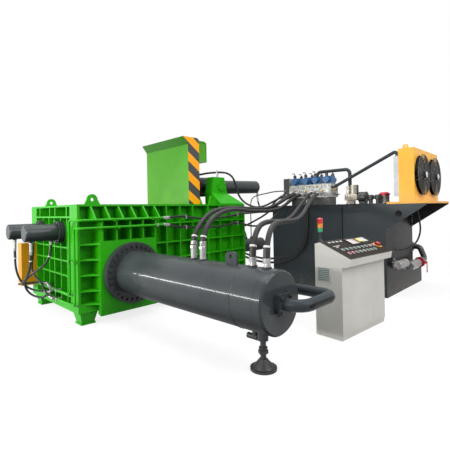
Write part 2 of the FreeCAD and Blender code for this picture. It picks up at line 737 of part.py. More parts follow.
def press_head():
    """Front end frame: thick bored plate, ram guides, recesses with ribs, shelf and slanted gussets."""
    back = (HEAD_PLATE, MOUTH_FRONT)
    guide_top = CHAMBER_TOP + LINER
    solids = [block((HEAD_LEFT, HEAD_RIGHT), (0, HEAD_PLATE), (HEAD_BOTTOM, HEAD_TOP)),
              block((HEAD_LEFT, HEAD_RIGHT), (HEAD_PLATE, HEAD_BACK), (HEAD_TOP - LINER, HEAD_TOP)),
              block((HEAD_LEFT, HEAD_RIGHT), back, (RAIL_TOP, FLOOR_TOP)),
              block((HEAD_LEFT, HEAD_LEFT + LINER), back, (FLOOR_TOP, HEAD_TOP)),
              block((HEAD_RIGHT - LINER, HEAD_RIGHT), back, (FLOOR_TOP, HEAD_TOP)),
              block((CHAMBER_LEFT - LINER, CHAMBER_LEFT), back, (FLOOR_TOP, CHAMBER_TOP)),
              block((CHAMBER_RIGHT, CHAMBER_RIGHT + LINER), back, (FLOOR_TOP, CHAMBER_TOP)),
              block((HEAD_LEFT, HEAD_RIGHT), back, (CHAMBER_TOP, guide_top)),
              block(HEAD_ENDS, (HEAD_BACK, MOUTH_FRONT), (guide_top, WALL_TOP)),
              block(HEAD_ENDS, (0, HEAD_BACK), (HEAD_SHELF_Z, HEAD_SHELF_Z + HEAD_SHELF)),
              block((HEAD_RIGHT, HEAD_ENDS[1]), (HEAD_BACK, MOUTH_FRONT), (RAIL_TOP, guide_top)),
              block((HEAD_ENDS[0], HEAD_LEFT), (HEAD_BACK, MOUTH_FRONT), (RAIL_TOP, guide_top))]
    for step in range(5):
        x = HEAD_LEFT + RIB + HEAD_RIB_PITCH * step
        solids.append(block((x, x + RIB), (0, HEAD_BACK), (HEAD_TOP, HEAD_SHELF_Z)))
    for step in range(4):
        x = HEAD_LEFT + RIB + HEAD_SKID_PITCH * step
        solids.append(block((x, x + RIB), (HEAD_PLATE, WALL_FRONT), (HEAD_BOTTOM, RAIL_TOP)))
    solids += end_frame_gussets()
    for z in CORNER_SHELVES:
        solids.append(corner_shelf(z, HEAD_LEFT, HEAD_ENDS[0]))
        solids.append(corner_shelf(z, HEAD_RIGHT, HEAD_ENDS[1]))
    head = join(solids)
    return head.cut(disc(MAIN_SPIGOT_RADIUS + ROUND_GAP, vec(PRESS_X, -1, PRESS_Z), Y, HEAD_PLATE + 2))


def exit_frame():
    """Rear end frame round the bale's way out: sill, two jambs and a lintel, with the gate's channel."""
    left = LEFT_RIB_DEPTH + LEFT_WEB
    channel = (GATE_FRONT - SLIDE_GAP, GATE_FRONT + GATE_THICKNESS + SLIDE_GAP)
    rear = (MOUTH_REAR, BOX_DEPTH)
    sill = join([block((left, EXIT_RIGHT), rear, (RAIL_TOP, FLOOR_TOP)),
                 block((left, EXIT_RIGHT), (WALL_REAR, BOX_DEPTH), (RAIL_BOTTOM, RAIL_TOP))])
    gate_space = block((GATE_LEFT, CHAMBER_RIGHT + GATE_LAP + SLIDE_GAP), channel,
                       (FLOOR_TOP, GATE_TOP + SLIDE_GAP))
    rod_space = disc(GATE_ROD_RADIUS + ROUND_GAP, vec(CHAMBER_LEFT, GATE_CYLINDER_Y, GATE_CYLINDER_Z), X,
                     EXIT_RIGHT)
    jamb_left = block((left, CHAMBER_LEFT), rear, (FLOOR_TOP, CHAMBER_TOP))
    jamb_right = block((CHAMBER_RIGHT, EXIT_RIGHT), rear, (FLOOR_TOP, CHAMBER_TOP))
    web = (MOUTH_REAR, BOX_DEPTH - HEAD_BACK)
    lintel = [block((left, EXIT_RIGHT), rear, (CHAMBER_TOP, EXIT_LINTEL_TOP)),
              block((left, EXIT_RIGHT), web, (EXIT_LINTEL_TOP, WALL_TOP))]
    for step in range(5):
        x = left + HEAD_GUSSET_PITCH * step
        lintel.append(mirrored(prism(((x, 0, EXIT_LINTEL_TOP), (x, HEAD_BACK, EXIT_LINTEL_TOP),
                                      (x, HEAD_BACK, WALL_TOP), (x, WALL_FRONT, WALL_TOP)), X * RIB)))
    return [sill, jamb_left.cut(gate_space), cut_all(jamb_right, [gate_space, rod_space]),
            join(lintel).cut(gate_space)]


def bridge_beam():
    """Fixed beam over the bale chamber: soffit, end plate, diaphragms, pin guides, the left deck and its
    two lifting eyes."""
    span = (CHAMBER_LEFT, BRIDGE_RIGHT)
    inside = (CHAMBER_LEFT, BRIDGE_RIGHT - BRIDGE_END)
    across = (MOUTH_FRONT, MOUTH_REAR)
    solids = [block(span, across, (CHAMBER_TOP, CHAMBER_TOP + BRIDGE_SOFFIT)),
              block((inside[1], span[1]), across, (CHAMBER_TOP, WALL_TOP)),
              block((0, BRIDGE_RIGHT), (WALL_FRONT, WALL_REAR), (WALL_TOP, BOX_TOP)),
              lifting_lug(LUG_X[0], WALL_FRONT + LUG_INSET, LUG_WIDTH, LUG_HEIGHT, LUG_HOLE),
              mirrored(lifting_lug(LUG_X[1], WALL_FRONT + LUG_INSET, LUG_WIDTH, LUG_HEIGHT, LUG_HOLE))]
    for y in BRIDGE_DIAPHRAGMS:
        solids.append(block(inside, (y - RIB / 2, y + RIB / 2), (CHAMBER_TOP, WALL_TOP)))
    for y in LOCK_Y:
        solids.append(disc(LOCK_PIN_RADIUS + LINER, vec(CHAMBER_LEFT, y, LOCK_Z), X,
                           BRIDGE_RIGHT - CHAMBER_LEFT))
    beam = join(solids)
    bores = [disc(LOCK_PIN_RADIUS + ROUND_GAP, vec(CHAMBER_LEFT - 1, y, LOCK_Z), X,
                  BRIDGE_RIGHT - CHAMBER_LEFT + 2) for y in LOCK_Y]
    return cut_all(beam, bores)


def lifting_lug(x, y, width, height, hole):
    """An upright eye plate on the deck's edge: rounded top, straight tapering sides."""
    radius = width * 0.34
    centre = vec(x, y, BOX_TOP + height - radius)
    foot = prism(((x - width / 2, y, BOX_TOP), (x + width / 2, y, BOX_TOP),
                  (x + radius, y, centre.z), (x - radius, y, centre.z)), Y * LUG_THICK)
    lug = join([foot, disc(radius, centre, Y, LUG_THICK)])
    return lug.cut(disc(hole, centre - Y, Y, LUG_THICK + 2))


def small_lug():
    """The smaller eye on the front wall's deck edge, beside the hinge."""
    return lifting_lug(LUG_X[2], WALL_FRONT + LUG_INSET / 2, SMALL_LUG_WIDTH, SMALL_LUG_HEIGHT, SMALL_LUG_HOLE)


def trunnion_bracket():
    """Front bracket of the lid cylinder: tapering leg with a bore, and a sloping foot to the deck's edge."""
    knee = BRACKET_KNEE_X
    top = BRACKET_TOP_X
    y = BRACKET_FACE_Y
    leg = prism(((knee[0], y, BOX_TOP), (knee[0], y, BRACKET_KNEE_Z), (top[0], y, BRACKET_TOP_Z),
                 (top[1], y, BRACKET_TOP_Z), (knee[1], y, BRACKET_KNEE_Z), (knee[1], y, BOX_TOP)),
                Y * BRACKET_WIDTH)
    ends = []
    for pair, at, height in ((BRACKET_FOOT_X, BRACKET_FOOT_Y, BOX_TOP + BRACKET_TOE),
                             (knee, y, BRACKET_KNEE_Z)):
        ends.append([vec(pair[0], at, BOX_TOP), vec(pair[1], at, BOX_TOP),
                     vec(pair[1], at, height), vec(pair[0], at, height)])
    slope = tapered(ends[0], ends[1])
    bracket = join([leg, slope])
    return bracket.cut(disc(TRUNNION_RADIUS + BEARING_GAP, vec(TRUNNION_X, y - 1, TRUNNION_Z), Y,
                            BRACKET_WIDTH + 2))


def trunnion_caps():
    """Round end caps over the trunnion bores, each with five bolt heads."""
    front = [disc(CAP_RADIUS, vec(TRUNNION_X, BRACKET_FACE_Y - CAP_PLATE, TRUNNION_Z), Y, CAP_PLATE)]
    circle = CAP_RADIUS * 0.66
    for step in range(5):
        turn = math.radians(72 * step + 18)
        at = vec(TRUNNION_X + circle * math.cos(turn), BRACKET_FACE_Y - CAP_PLATE - CAP_BOLT_HEAD,
                 TRUNNION_Z + circle * math.sin(turn))
        front.append(hex_bar(CAP_BOLT, at, Y, CAP_BOLT_HEAD))
    return front + [mirrored(solid) for solid in front]


# ---- lid

def lid_outline(y):
    """The lid's side view, with the lip at its free end, as corner points."""
    return ((LID_LEFT, y, LID_BOTTOM), (LID_LEFT, y, LIP_ROOT_Z), (LID_LEFT - LIP_REACH, y, LID_TOP - 3),
            (LID_RIGHT - 46, y, LID_TOP), (LID_RIGHT, y, LID_TOP - 32), (LID_RIGHT, y, LID_BOTTOM))


def lid():
    """Hollow lid plate with its lip, cells inside, back beam, hinge knuckles, pin sockets and rod lugs."""
    front = MOUTH_FRONT + LID_SIDE_GAP
    rear = MOUTH_REAR - LID_SIDE_GAP
    body = prism(lid_outline(front), Y * (rear - front))
    cells = []
    columns = 3
    rows = 3
    cell_y = (rear - front - LID_FACE * (columns + 1)) / columns
    cell_top = LIP_ROOT_Z - LOCK_SOCKET - 60
    cell_z = (cell_top - LID_BOTTOM - LID_FACE * (rows + 1)) / rows
    for column in range(columns):
        for row in range(rows):
            y = front + LID_FACE + column * (cell_y + LID_FACE)
            z = LID_BOTTOM + LID_FACE + row * (cell_z + LID_FACE)
            cells.append(block((LID_LEFT + LID_FACE, LID_RIGHT - LID_FACE), (y, y + cell_y), (z, z + cell_z)))
    solids = [body]
    beam_x = LID_RIGHT + LID_BEAM_DEPTH
    beam = block((LID_RIGHT, beam_x), (front, rear), (LID_BEAM_LOW, LID_BEAM_HIGH))
    top_edge = [edge for edge in beam.Edges
                if all(abs(v.X - beam_x) < 1 and abs(v.Z - LID_BEAM_HIGH) < 1 for v in edge.Vertexes)]
    solids.append(beam.makeFillet(LID_BEAM_ROUND, top_edge))
    for y in (front, rear - KNUCKLE_LENGTH):
        solids.append(disc(KNUCKLE_RADIUS, vec(HINGE_X, y, HINGE_Z), Y, KNUCKLE_LENGTH))
        solids.append(prism(((LID_RIGHT, y, LID_BOTTOM), (HINGE_X, y, HINGE_Z - KNUCKLE_RADIUS + 5),
                             (HINGE_X + KNUCKLE_RADIUS - 5, y, HINGE_Z), (LID_RIGHT, y, HINGE_Z + KNUCKLE_RISE)),
                            Y * KNUCKLE_LENGTH))
    half = ROD_EYE / 2 + LUG_SIDE_GAP
    for y in (CENTRE_Y - half - LUG_PLATE, CENTRE_Y + half):
        solids.append(disc(LUG_RADIUS, vec(LUG_PIN_X, y, LUG_PIN_Z), Y, LUG_PLATE))
        solids.append(prism(((LID_RIGHT, y, LUG_PIN_Z - LUG_FOOT), (LUG_PIN_X, y, LUG_PIN_Z - LUG_RADIUS + 1),
                             (LUG_PIN_X, y, LUG_PIN_Z + LUG_RADIUS - 1), (LID_RIGHT, y, LUG_PIN_Z + LUG_FOOT)),
                            Y * LUG_PLATE))
    for y in (CENTRE_Y - half - LUG_PLATE - LUG_CAP, CENTRE_Y + half + LUG_PLATE):
        solids.append(disc(LUG_RADIUS * 0.55, vec(LUG_PIN_X, y, LUG_PIN_Z), Y, LUG_CAP))
    tools = list(cells)
    for y in LOCK_Y:
        tools.append(disc(LOCK_PIN_RADIUS + LOCK_SOCKET_GAP,
                          vec(HINGE_X + LOCK_Z - HINGE_Z, y, LID_TOP - LOCK_SOCKET), Z, LOCK_SOCKET + 10))
    tools.append(disc(HINGE_RADIUS + BEARING_GAP, vec(HINGE_X, front - 1, HINGE_Z), Y, rear - front + 2))
    recess = BEAM_RECESS
    for y in (front - 1, rear - recess + 1):
        tools.append(block((LID_RIGHT + recess, beam_x - recess), (y, y + recess),
                           (LID_BEAM_LOW + BEAM_SILL, LID_BEAM_HIGH - BEAM_RIM)))
    return cut_all(join(solids), tools)


def hinge_shaft():
    """The lid's shaft, held in the long walls."""
    return disc(HINGE_RADIUS, vec(HINGE_X, MOUTH_FRONT - SHAFT_SEAT, HINGE_Z), Y,
                MOUTH_WIDTH + 2 * SHAFT_SEAT)


def lid_cylinder_tilt():
    """The rest angle of the lid cylinder, in degrees above level."""
    return math.degrees(math.atan2(TRUNNION_Z - LUG_PIN_Z, TRUNNION_X - LUG_PIN_X))


def tilted(shape):
    """Turn a piece drawn level along X to the lid cylinder's rest angle about the trunnion."""
    shape = shape.copy()
    shape.rotate(vec(TRUNNION_X, CENTRE_Y, TRUNNION_Z), Y, -lid_cylinder_tilt())
    return shape


def at_trunnion(distance):
    return vec(TRUNNION_X + distance, CENTRE_Y, TRUNNION_Z)


def lid_cylinder():
    """Lid cylinder: tube with its trunnion block, journals, gland, ports and a bevelled closed end."""
    rear_start = 60 - LID_TUBE_FRONT
    rear = disc(LID_TUBE_RADIUS, at_trunnion(rear_start), X, LID_TUBE_BACK - rear_start)
    rear = rear.makeChamfer(34, [e for e in rear.Edges if e.BoundBox.XMin > TRUNNION_X + LID_TUBE_BACK - 1])
    half = TRUNNION_BLOCK / 2
    high = TRUNNION_BLOCK_HEIGHT / 2
    wide = LID_TUBE_RADIUS + 18
    core = block((TRUNNION_X - half, TRUNNION_X + half), (CENTRE_Y - wide, CENTRE_Y + wide),
                 (TRUNNION_Z - high, TRUNNION_Z + high))
    core = core.makeChamfer(40, [e for e in core.Edges if e.BoundBox.XLength > half])
    journal = CENTRE_Y - BRACKET_FACE_Y - 5
    shoulder = CENTRE_Y - (BRACKET_FACE_Y + BRACKET_WIDTH + SLIDE_GAP)
    head_port = at_trunnion(HEAD_PORT_X) + Z * (HEAD_PORT_Z - TRUNNION_Z)
    end_port = at_trunnion(LID_TUBE_BACK)
    solids = [rear, core,
              disc(LID_TUBE_RADIUS - 12, at_trunnion(-LID_TUBE_FRONT), X, LID_TUBE_FRONT),
              disc(TRUNNION_RADIUS, vec(TRUNNION_X, CENTRE_Y - journal, TRUNNION_Z), Y, 2 * journal),
              disc(TRUNNION_RADIUS + 25, vec(TRUNNION_X, CENTRE_Y - shoulder, TRUNNION_Z), Y, 2 * shoulder),
              disc(PORT_RADIUS, at_trunnion(HEAD_PORT_X), Z, HEAD_PORT_Z - TRUNNION_Z + PORT_RADIUS),
              disc(PORT_RADIUS - 4, head_port, Y * -1, HEAD_PORT_REACH),
              disc(PORT_RADIUS, end_port, X, END_PORT_REACH + PORT_RADIUS),
              disc(PORT_RADIUS - 4, end_port + X * END_PORT_REACH, Z * -1, END_PORT_DROP)]
    body = join(solids)
    bore_start = 90 - LID_TUBE_FRONT
    body = cut_all(body, [disc(LID_TUBE_BORE, at_trunnion(bore_start), X, LID_TUBE_BACK - 70 - bore_start),
                          disc(LID_ROD_RADIUS + ROUND_GAP, at_trunnion(-LID_TUBE_FRONT - 1), X, 93)])
    return tilted(body)


def lid_rod():
    """Chromed rod of the lid cylinder with its eye and piston."""
    reach = math.hypot(TRUNNION_X - LUG_PIN_X, TRUNNION_Z - LUG_PIN_Z)
    eye_centre = at_trunnion(-reach)
    return tilted(join([disc(ROD_EYE_RADIUS, eye_centre - Y * (ROD_EYE / 2), Y, ROD_EYE),
                        disc(LID_ROD_RADIUS, eye_centre, X, LID_ROD_REACH + reach),
                        disc(LID_TUBE_BORE - ROUND_GAP, at_trunnion(LID_ROD_REACH), X, LID_PISTON)]))


# ---- rams, gate and lid locks

def main_ram():
    """Platen of the main ram: face plate, ribbed body and side shoes."""
    x = (CHAMBER_LEFT + SLIDE_GAP, CHAMBER_RIGHT - SLIDE_GAP)
    z = (FLOOR_TOP + SLIDE_GAP, CHAMBER_TOP - SLIDE_GAP)
    back = MAIN_FACE_Y - MAIN_PLATEN
    solids = [block(x, (MAIN_FACE_Y - 60, MAIN_FACE_Y), z), block(x, (back, back + 30), z)]
    for step in range(4):
        low = x[0] + (x[1] - x[0] - 40) * step / 3
        solids.append(block((low, low + 40), (back, MAIN_FACE_Y), z))
    for low in (z[0], z[1] - 40):
        solids.append(block(x, (back, MAIN_FACE_Y), (low, low + 40)))
    return join(solids)


def main_rod():
    """Chromed rod of the main cylinder with its piston."""
    start = MAIN_FACE_Y - MAIN_PLATEN
    end = MAIN_CAP + MAIN_END_GAP - MAIN_LENGTH
    rod = disc(MAIN_ROD_RADIUS, vec(PRESS_X, end, PRESS_Z), Y, start - end)
    piston = disc(MAIN_RADIUS - MAIN_WALL - ROUND_GAP, vec(PRESS_X, end, PRESS_Z), Y, MAIN_PISTON)
    return join([rod, piston])


def side_ram():
    """Side ram: face plate with a box body open at the back."""
    x0 = SIDE_FACE_X
    y = (MOUTH_FRONT + SLIDE_GAP, MOUTH_REAR - SLIDE_GAP)
    z = (FLOOR_TOP + SLIDE_GAP, CHAMBER_TOP - SLIDE_GAP)
    body = block((x0, x0 + SIDE_BODY), y, z)
    inside = block((x0 + SIDE_FACE, x0 + SIDE_BODY + 1), (y[0] + SIDE_WALL, y[1] - SIDE_WALL),
                   (z[0] + SIDE_WALL, z[1] - SIDE_WALL))
    return body.cut(inside)


def side_rod():
    """Chromed rod of the side cylinder with its piston."""
    start = SIDE_FACE_X + SIDE_FACE
    end = SIDE_END - SIDE_CAP
    rod = disc(SIDE_ROD_RADIUS, vec(start, CENTRE_Y, PRESS_Z), X, end - start)
    piston = disc(SIDE_BORE_RADIUS - ROUND_GAP, vec(end - SIDE_PISTON, CENTRE_Y, PRESS_Z), X, SIDE_PISTON)
    return join([rod, piston])


def gate():
    """Sliding discharge gate, its tail standing out of the left wall."""
    right = CHAMBER_RIGHT + GATE_LAP
    return block((GATE_LEFT, right), (GATE_FRONT, GATE_FRONT + GATE_THICKNESS), (GATE_BOTTOM, GATE_TOP))


def gate_rod():
    """Rod of the gate's cylinder with its piston, bolted to the gate's inner end."""
    start = CHAMBER_RIGHT + GATE_LAP
    end = EXIT_RIGHT + GATE_CYLINDER_LENGTH - GATE_PISTON
    at = vec(start, GATE_CYLINDER_Y, GATE_CYLINDER_Z)
    piston = vec(end - GATE_PISTON, GATE_CYLINDER_Y, GATE_CYLINDER_Z)
    return join([disc(GATE_ROD_RADIUS, at, X, end - start),
                 disc(GATE_TUBE_RADIUS - GATE_TUBE_WALL - ROUND_GAP, piston, X, GATE_PISTON)])


def gate_cylinder():
    """Gate cylinder in the rear wall's rib bay, standing against the exit frame."""
    at = vec(EXIT_RIGHT, GATE_CYLINDER_Y, GATE_CYLINDER_Z)
    tube = disc(GATE_TUBE_RADIUS, at, X, GATE_CYLINDER_LENGTH)
    bore = disc(GATE_TUBE_RADIUS - GATE_TUBE_WALL, at + X * GATE_PISTON, X,
                GATE_CYLINDER_LENGTH - 1.6 * GATE_PISTON)
    return cut_all(tube, [bore, disc(GATE_ROD_RADIUS + ROUND_GAP, at - X, X, GATE_PISTON + 2)])


def lock_cylinders():
    """The two lid lock cylinders on the left wall: round flange, tube, closed end and two ports below."""
    cylinders = []
    for y in LOCK_Y:
        at = vec(0, y, LOCK_Z)
        tube = disc(LOCK_TUBE_RADIUS, at - X * LOCK_LENGTH, X, LOCK_LENGTH)
        tube = tube.makeChamfer(12, [e for e in tube.Edges if e.BoundBox.XMax < -LOCK_LENGTH + 1])
        groove = ring(LOCK_TUBE_RADIUS + 5, LOCK_TUBE_RADIUS - 5, at - X * (LOCK_LENGTH - LOCK_CAP), X, 7)
        ports = [disc(LOCK_PORT_RADIUS, vec(x, y, LOCK_Z - LOCK_TUBE_RADIUS - LOCK_PORT), Z,
                      LOCK_PORT + LOCK_TUBE_RADIUS - LOCK_BORE_RADIUS) for x in LOCK_PORT_X]
        body = join([tube.cut(groove), disc(LOCK_FLANGE_RADIUS, at - X * LOCK_FLANGE, X, LOCK_FLANGE)] + ports)
        bore = disc(LOCK_BORE_RADIUS, at - X * (LOCK_LENGTH - LOCK_CAP), X, LOCK_LENGTH - LOCK_CAP - LOCK_GLAND)
        rod = disc(LOCK_PIN_RADIUS + ROUND_GAP, at - X * (LOCK_GLAND + 1), X, LOCK_GLAND + 2)
        cylinders.append(cut_all(body, [bore, rod]))
    return cylinders


def lock_pin(y):
    """Lock pin with its piston; it slides through the left wall and the bridge into the lid."""
    rear = -LOCK_LENGTH + LOCK_CAP + 20
    pin = disc(LOCK_PIN_RADIUS, vec(rear, y, LOCK_Z), X, LOCK_TIP - rear)
    pin = pin.makeChamfer(12, [e for e in pin.Edges if e.BoundBox.XMin > LOCK_TIP - 1])
    return join([pin, disc(LOCK_BORE_RADIUS - ROUND_GAP, vec(rear, y, LOCK_Z), X, LOCK_PISTON)])


# ---- main and side cylinders

def main_tube():
    """Tube of the main cylinder with its spigot, flange, weld bead and closed end, turned as one."""
    bore = MAIN_RADIUS - MAIN_WALL
    rod = MAIN_ROD_RADIUS + ROUND_GAP
    bead = 9.0
    gland = MAIN_FLANGE + 20
    profile = ((rod, -HEAD_PLATE), (MAIN_SPIGOT_RADIUS, -HEAD_PLATE), (MAIN_SPIGOT_RADIUS, 0),
               (MAIN_FLANGE_RADIUS, 0), (MAIN_FLANGE_RADIUS, MAIN_FLANGE), (MAIN_RADIUS, MAIN_FLANGE),
               (MAIN_RADIUS, MAIN_SEAM - bead), (MAIN_RADIUS + bead / 2, MAIN_SEAM),
               (MAIN_RADIUS, MAIN_SEAM + bead), (MAIN_RADIUS, MAIN_LENGTH - 20),
               (MAIN_RADIUS - 20, MAIN_LENGTH), (0, MAIN_LENGTH), (0, MAIN_LENGTH - MAIN_CAP),
               (bore, MAIN_LENGTH - MAIN_CAP), (bore, gland), (rod, gland))
    return turned(profile, vec(PRESS_X, 0, PRESS_Z), Y * -1)


def main_cylinder():
    """Main cylinder in front of the press box, with ports, a lifting eye, a socket for the jack, a drain
    elbow, and the flange and branch of its bypass pipe."""
    solids = [main_tube()]
    for y in MAIN_PORTS:
        solids.append(disc(MAIN_PORT_RADIUS, vec(PRESS_X, y, PRESS_Z + SOCKET_WALL), Z,
                           MAIN_PORT_TOP - PRESS_Z - SOCKET_WALL))
    eye = block((PRESS_X - 15, PRESS_X + 15), MAIN_EYE, (PRESS_Z + SOCKET_WALL, MAIN_EYE_TOP))
    eye = eye.makeFillet(45, [e for e in eye.Edges if e.BoundBox.ZMin > MAIN_EYE_TOP - 1
                              and e.BoundBox.YLength < 1])
    middle = (MAIN_EYE[0] + MAIN_EYE[1]) / 2
    solids.append(eye.cut(disc(25, vec(PRESS_X - 16, middle, MAIN_EYE_TOP - 55), X, 32)))
    back = -MAIN_LENGTH
    solids.append(disc(CAP_BOSS, vec(PRESS_X, back, PRESS_Z), Y * -1, CAP_BOSS_DEPTH))
    flange_y = back - CAP_BOSS_DEPTH
    half = CAP_FLANGE / 2
    solids.append(block((PRESS_X - half, PRESS_X + half), (flange_y - CAP_FLANGE_DEPTH, flange_y),
                        (PRESS_Z - half, PRESS_Z + half)))
    solids.append(disc(BRANCH_RADIUS, vec(PRESS_X + SOCKET_WALL, BRANCH_Y, PRESS_Z), X,
                       BRANCH_X - PRESS_X - SOCKET_WALL))
    low = PRESS_Z - SOCKET_WALL - 12
    solids.append(disc(JACK_BOSS, vec(PRESS_X, JACK_Y, JACK_BOSS_LOW), Z, low - JACK_BOSS_LOW))
    drain = vec(PRESS_X, MAIN_PORTS[2] - 15, 298)
    solids.append(disc(30, drain, Z, low - 298))
    solids.append(disc(30, drain + Y * -34, Y, 130))
    body = join(solids)
    return body.cut(disc(JACK_STEM + ROUND_GAP, vec(PRESS_X, JACK_Y, JACK_BOSS_LOW - 1), Z,
                         JACK_TOP + JACK_TRAVEL + 4 - JACK_BOSS_LOW))


def flange_bolts():
    """Thirty hexagon heads on the main cylinder's flange."""
    bolts = []
    for step in range(MAIN_BOLTS):
        turn = 2 * math.pi * step / MAIN_BOLTS
        at = vec(PRESS_X + MAIN_BOLT_CIRCLE * math.cos(turn), -MAIN_FLANGE - FLANGE_BOLT_HEAD,
                 PRESS_Z + MAIN_BOLT_CIRCLE * math.sin(turn))
        bolts.append(hex_bar(FLANGE_BOLT, at, Y, FLANGE_BOLT_HEAD))
    return bolts


def jack_foot():
    """Screw jack under the closed end: round foot, cone, stem and lock nuts."""
    foot = turned(((0, 0), (JACK_BASE, 0), (JACK_BASE, FOOT_PAD), (JACK_NUT + 6, FOOT_PAD), (40, 108),
                   (JACK_STEM, 108), (JACK_STEM, JACK_TOP), (0, JACK_TOP)), vec(PRESS_X, JACK_Y, 0), Z)
    lower = hex_bar(JACK_NUT, vec(PRESS_X, JACK_Y, 160), Z, 34)
    upper = disc(JACK_NUT * 0.42, vec(PRESS_X, JACK_Y, 199), Z, 24)
    return join([foot, lower, upper])


def side_cylinder():
    """Side cylinder on the right end wall: flange, tube and closed end turned as one, with its port."""
    length = SIDE_END - BOX_LENGTH
    rod = SIDE_ROD_RADIUS + ROUND_GAP
    gland = SIDE_GLAND + 20
    tube = turned(((rod, 0), (SIDE_FLANGE_RADIUS, 0), (SIDE_FLANGE_RADIUS, SIDE_FLANGE),
                   (SIDE_RADIUS, SIDE_FLANGE), (SIDE_RADIUS, length - 20), (SIDE_RADIUS - 20, length),
                   (0, length), (0, length - SIDE_CAP), (SIDE_BORE_RADIUS, length - SIDE_CAP),
                   (SIDE_BORE_RADIUS, gland), (rod, gland)), vec(BOX_LENGTH, CENTRE_Y, PRESS_Z), X)
    port_y = CENTRE_Y - SIDE_BORE_RADIUS - 3
    boss = disc(40, vec(SIDE_PORT_X, SIDE_PORT_Y, PRESS_Z), Y, port_y - SIDE_PORT_Y)
    return join([tube, boss])


# ---- oil tank, cooler and pumps

def oil_tank():
    """Oil tank on its skid, with a cover plate, a flat bar down its left face and a curb on the skid."""
    body = block((TANK_X, TANK_RIGHT), (TANK_Y, TANK_REAR), (TANK_SKID, TANK_TOP - TANK_COVER))
    cover = block((TANK_X - TANK_LAP, TANK_RIGHT + TANK_LAP), (TANK_Y, TANK_REAR + TANK_LAP),
                  (TANK_TOP - TANK_COVER, TANK_TOP))
    skid = block((TANK_X, SKID_END), (TANK_Y, TANK_REAR), (0, TANK_SKID))
    curb = block((TANK_RIGHT, SKID_END), (TANK_Y, TANK_Y + RIB), (TANK_SKID, TANK_SKID + SKID_CURB))
    bar = block((TANK_X - 30, TANK_X), (TANK_BAR_Y, TANK_BAR_Y + TANK_BAR), (TANK_SKID, TANK_TOP - TANK_COVER))
    return join([body, cover, skid, curb, bar])


def shelf_brackets():
    """Two triangular brackets bolted to the tank's near face, the left one with a round hole."""
    brackets = []
    for x in (TANK_X, TANK_RIGHT - GUSSET):
        web = prism(((x, TANK_Y, SHELF_LOW), (x, SHELF_END, SHELF_LOW), (x, SHELF_END, SHELF_LOW - GUSSET_TIP),
                     (x, TANK_Y, GUSSET_LOW)), X * GUSSET)
        if x == TANK_X:
            web = web.cut(disc(GUSSET_HOLE, vec(x - 1, GUSSET_HOLE_Y, GUSSET_HOLE_Z), X, GUSSET + 2))
        side = x if x == TANK_X else x + GUSSET - BRACKET_FLANGE_WIDTH
        flange = block((side, side + BRACKET_FLANGE_WIDTH), (TANK_Y - BRACKET_FLANGE, TANK_Y),
                       (GUSSET_LOW, SHELF_LOW))
        brackets.append(join([web, flange]))
    return brackets


def cooler_shelf():
    """Shelf plate under the cooler with turned-down edges."""
    plate = block(SHELF_X, (SHELF_END, TANK_Y - TANK_LAP), (SHELF_LOW, SHELF_TOP))
    return plate.makeFillet(10, [e for e in plate.Edges if e.BoundBox.ZLength > 10])


def cooler_housing():
    """Cooler housing of sheet: open at the back, with a round opening for each fan and lifting eyes."""
    x = SHELF_X
    shell = block(x, (COOLER_FRONT, COOLER_BACK), (SHELF_TOP, COOLER_TOP))
    sheet = COOLER_SHEET
    inside = block((x[0] + sheet, x[1] - sheet), (COOLER_FRONT + sheet, COOLER_BACK + 1),
                   (SHELF_TOP + sheet, COOLER_TOP - sheet))
    shell = shell.cut(inside)
    solids = [shell]
    for side in (x[0], x[1] - sheet):
        eye = block((side, side + sheet), (COOLER_EYE_Y - 45, COOLER_EYE_Y + 45),
                    (COOLER_TOP - sheet, COOLER_TOP + 62))
        eye = eye.makeFillet(32, [e for e in eye.Edges if e.BoundBox.ZMin > COOLER_TOP + 60
                                  and e.BoundBox.YLength < 1])
        solids.append(eye.cut(disc(14, vec(side - 1, COOLER_EYE_Y, COOLER_TOP + 32), X, sheet + 2)))
    body = join(solids)
    return cut_all(body, [disc(FAN_HOLE, vec(fan_x, COOLER_FRONT - 1, FAN_Z), Y, sheet + 2) for fan_x in FAN_X])


def cooler_core():
    """Finned cooler core in the housing's open back, with its end tanks and the oil inlet on top."""
    x = (SHELF_X[0] + COOLER_SHEET, SHELF_X[1] - COOLER_SHEET)
    z = (SHELF_TOP + COOLER_SHEET, COOLER_TOP - COOLER_SHEET)
    frame = block(x, (COOLER_BACK - CORE_FLANGE, COOLER_BACK), z)
    core = block((x[0] + 40, x[1] - 40), (COOLER_BACK, CORE_BACK), (CORE_LOW, CORE_HIGH))
    grooves = []
    pitch = (CORE_HIGH - CORE_LOW) / 12
    for step in range(1, 12):
        level = CORE_LOW + pitch * step
        grooves.append(block((x[0] + 110, x[1] - 110), (CORE_BACK - 18, CORE_BACK + 1),
                             (level - pitch * 0.22, level + pitch * 0.22)))
    inlet = disc(COOLER_LINE_RADIUS + 10, vec(CORE_PORT_X, CORE_PORT_Y, CORE_HIGH), Z, 25)
    return join([frame, cut_all(core, grooves), inlet])


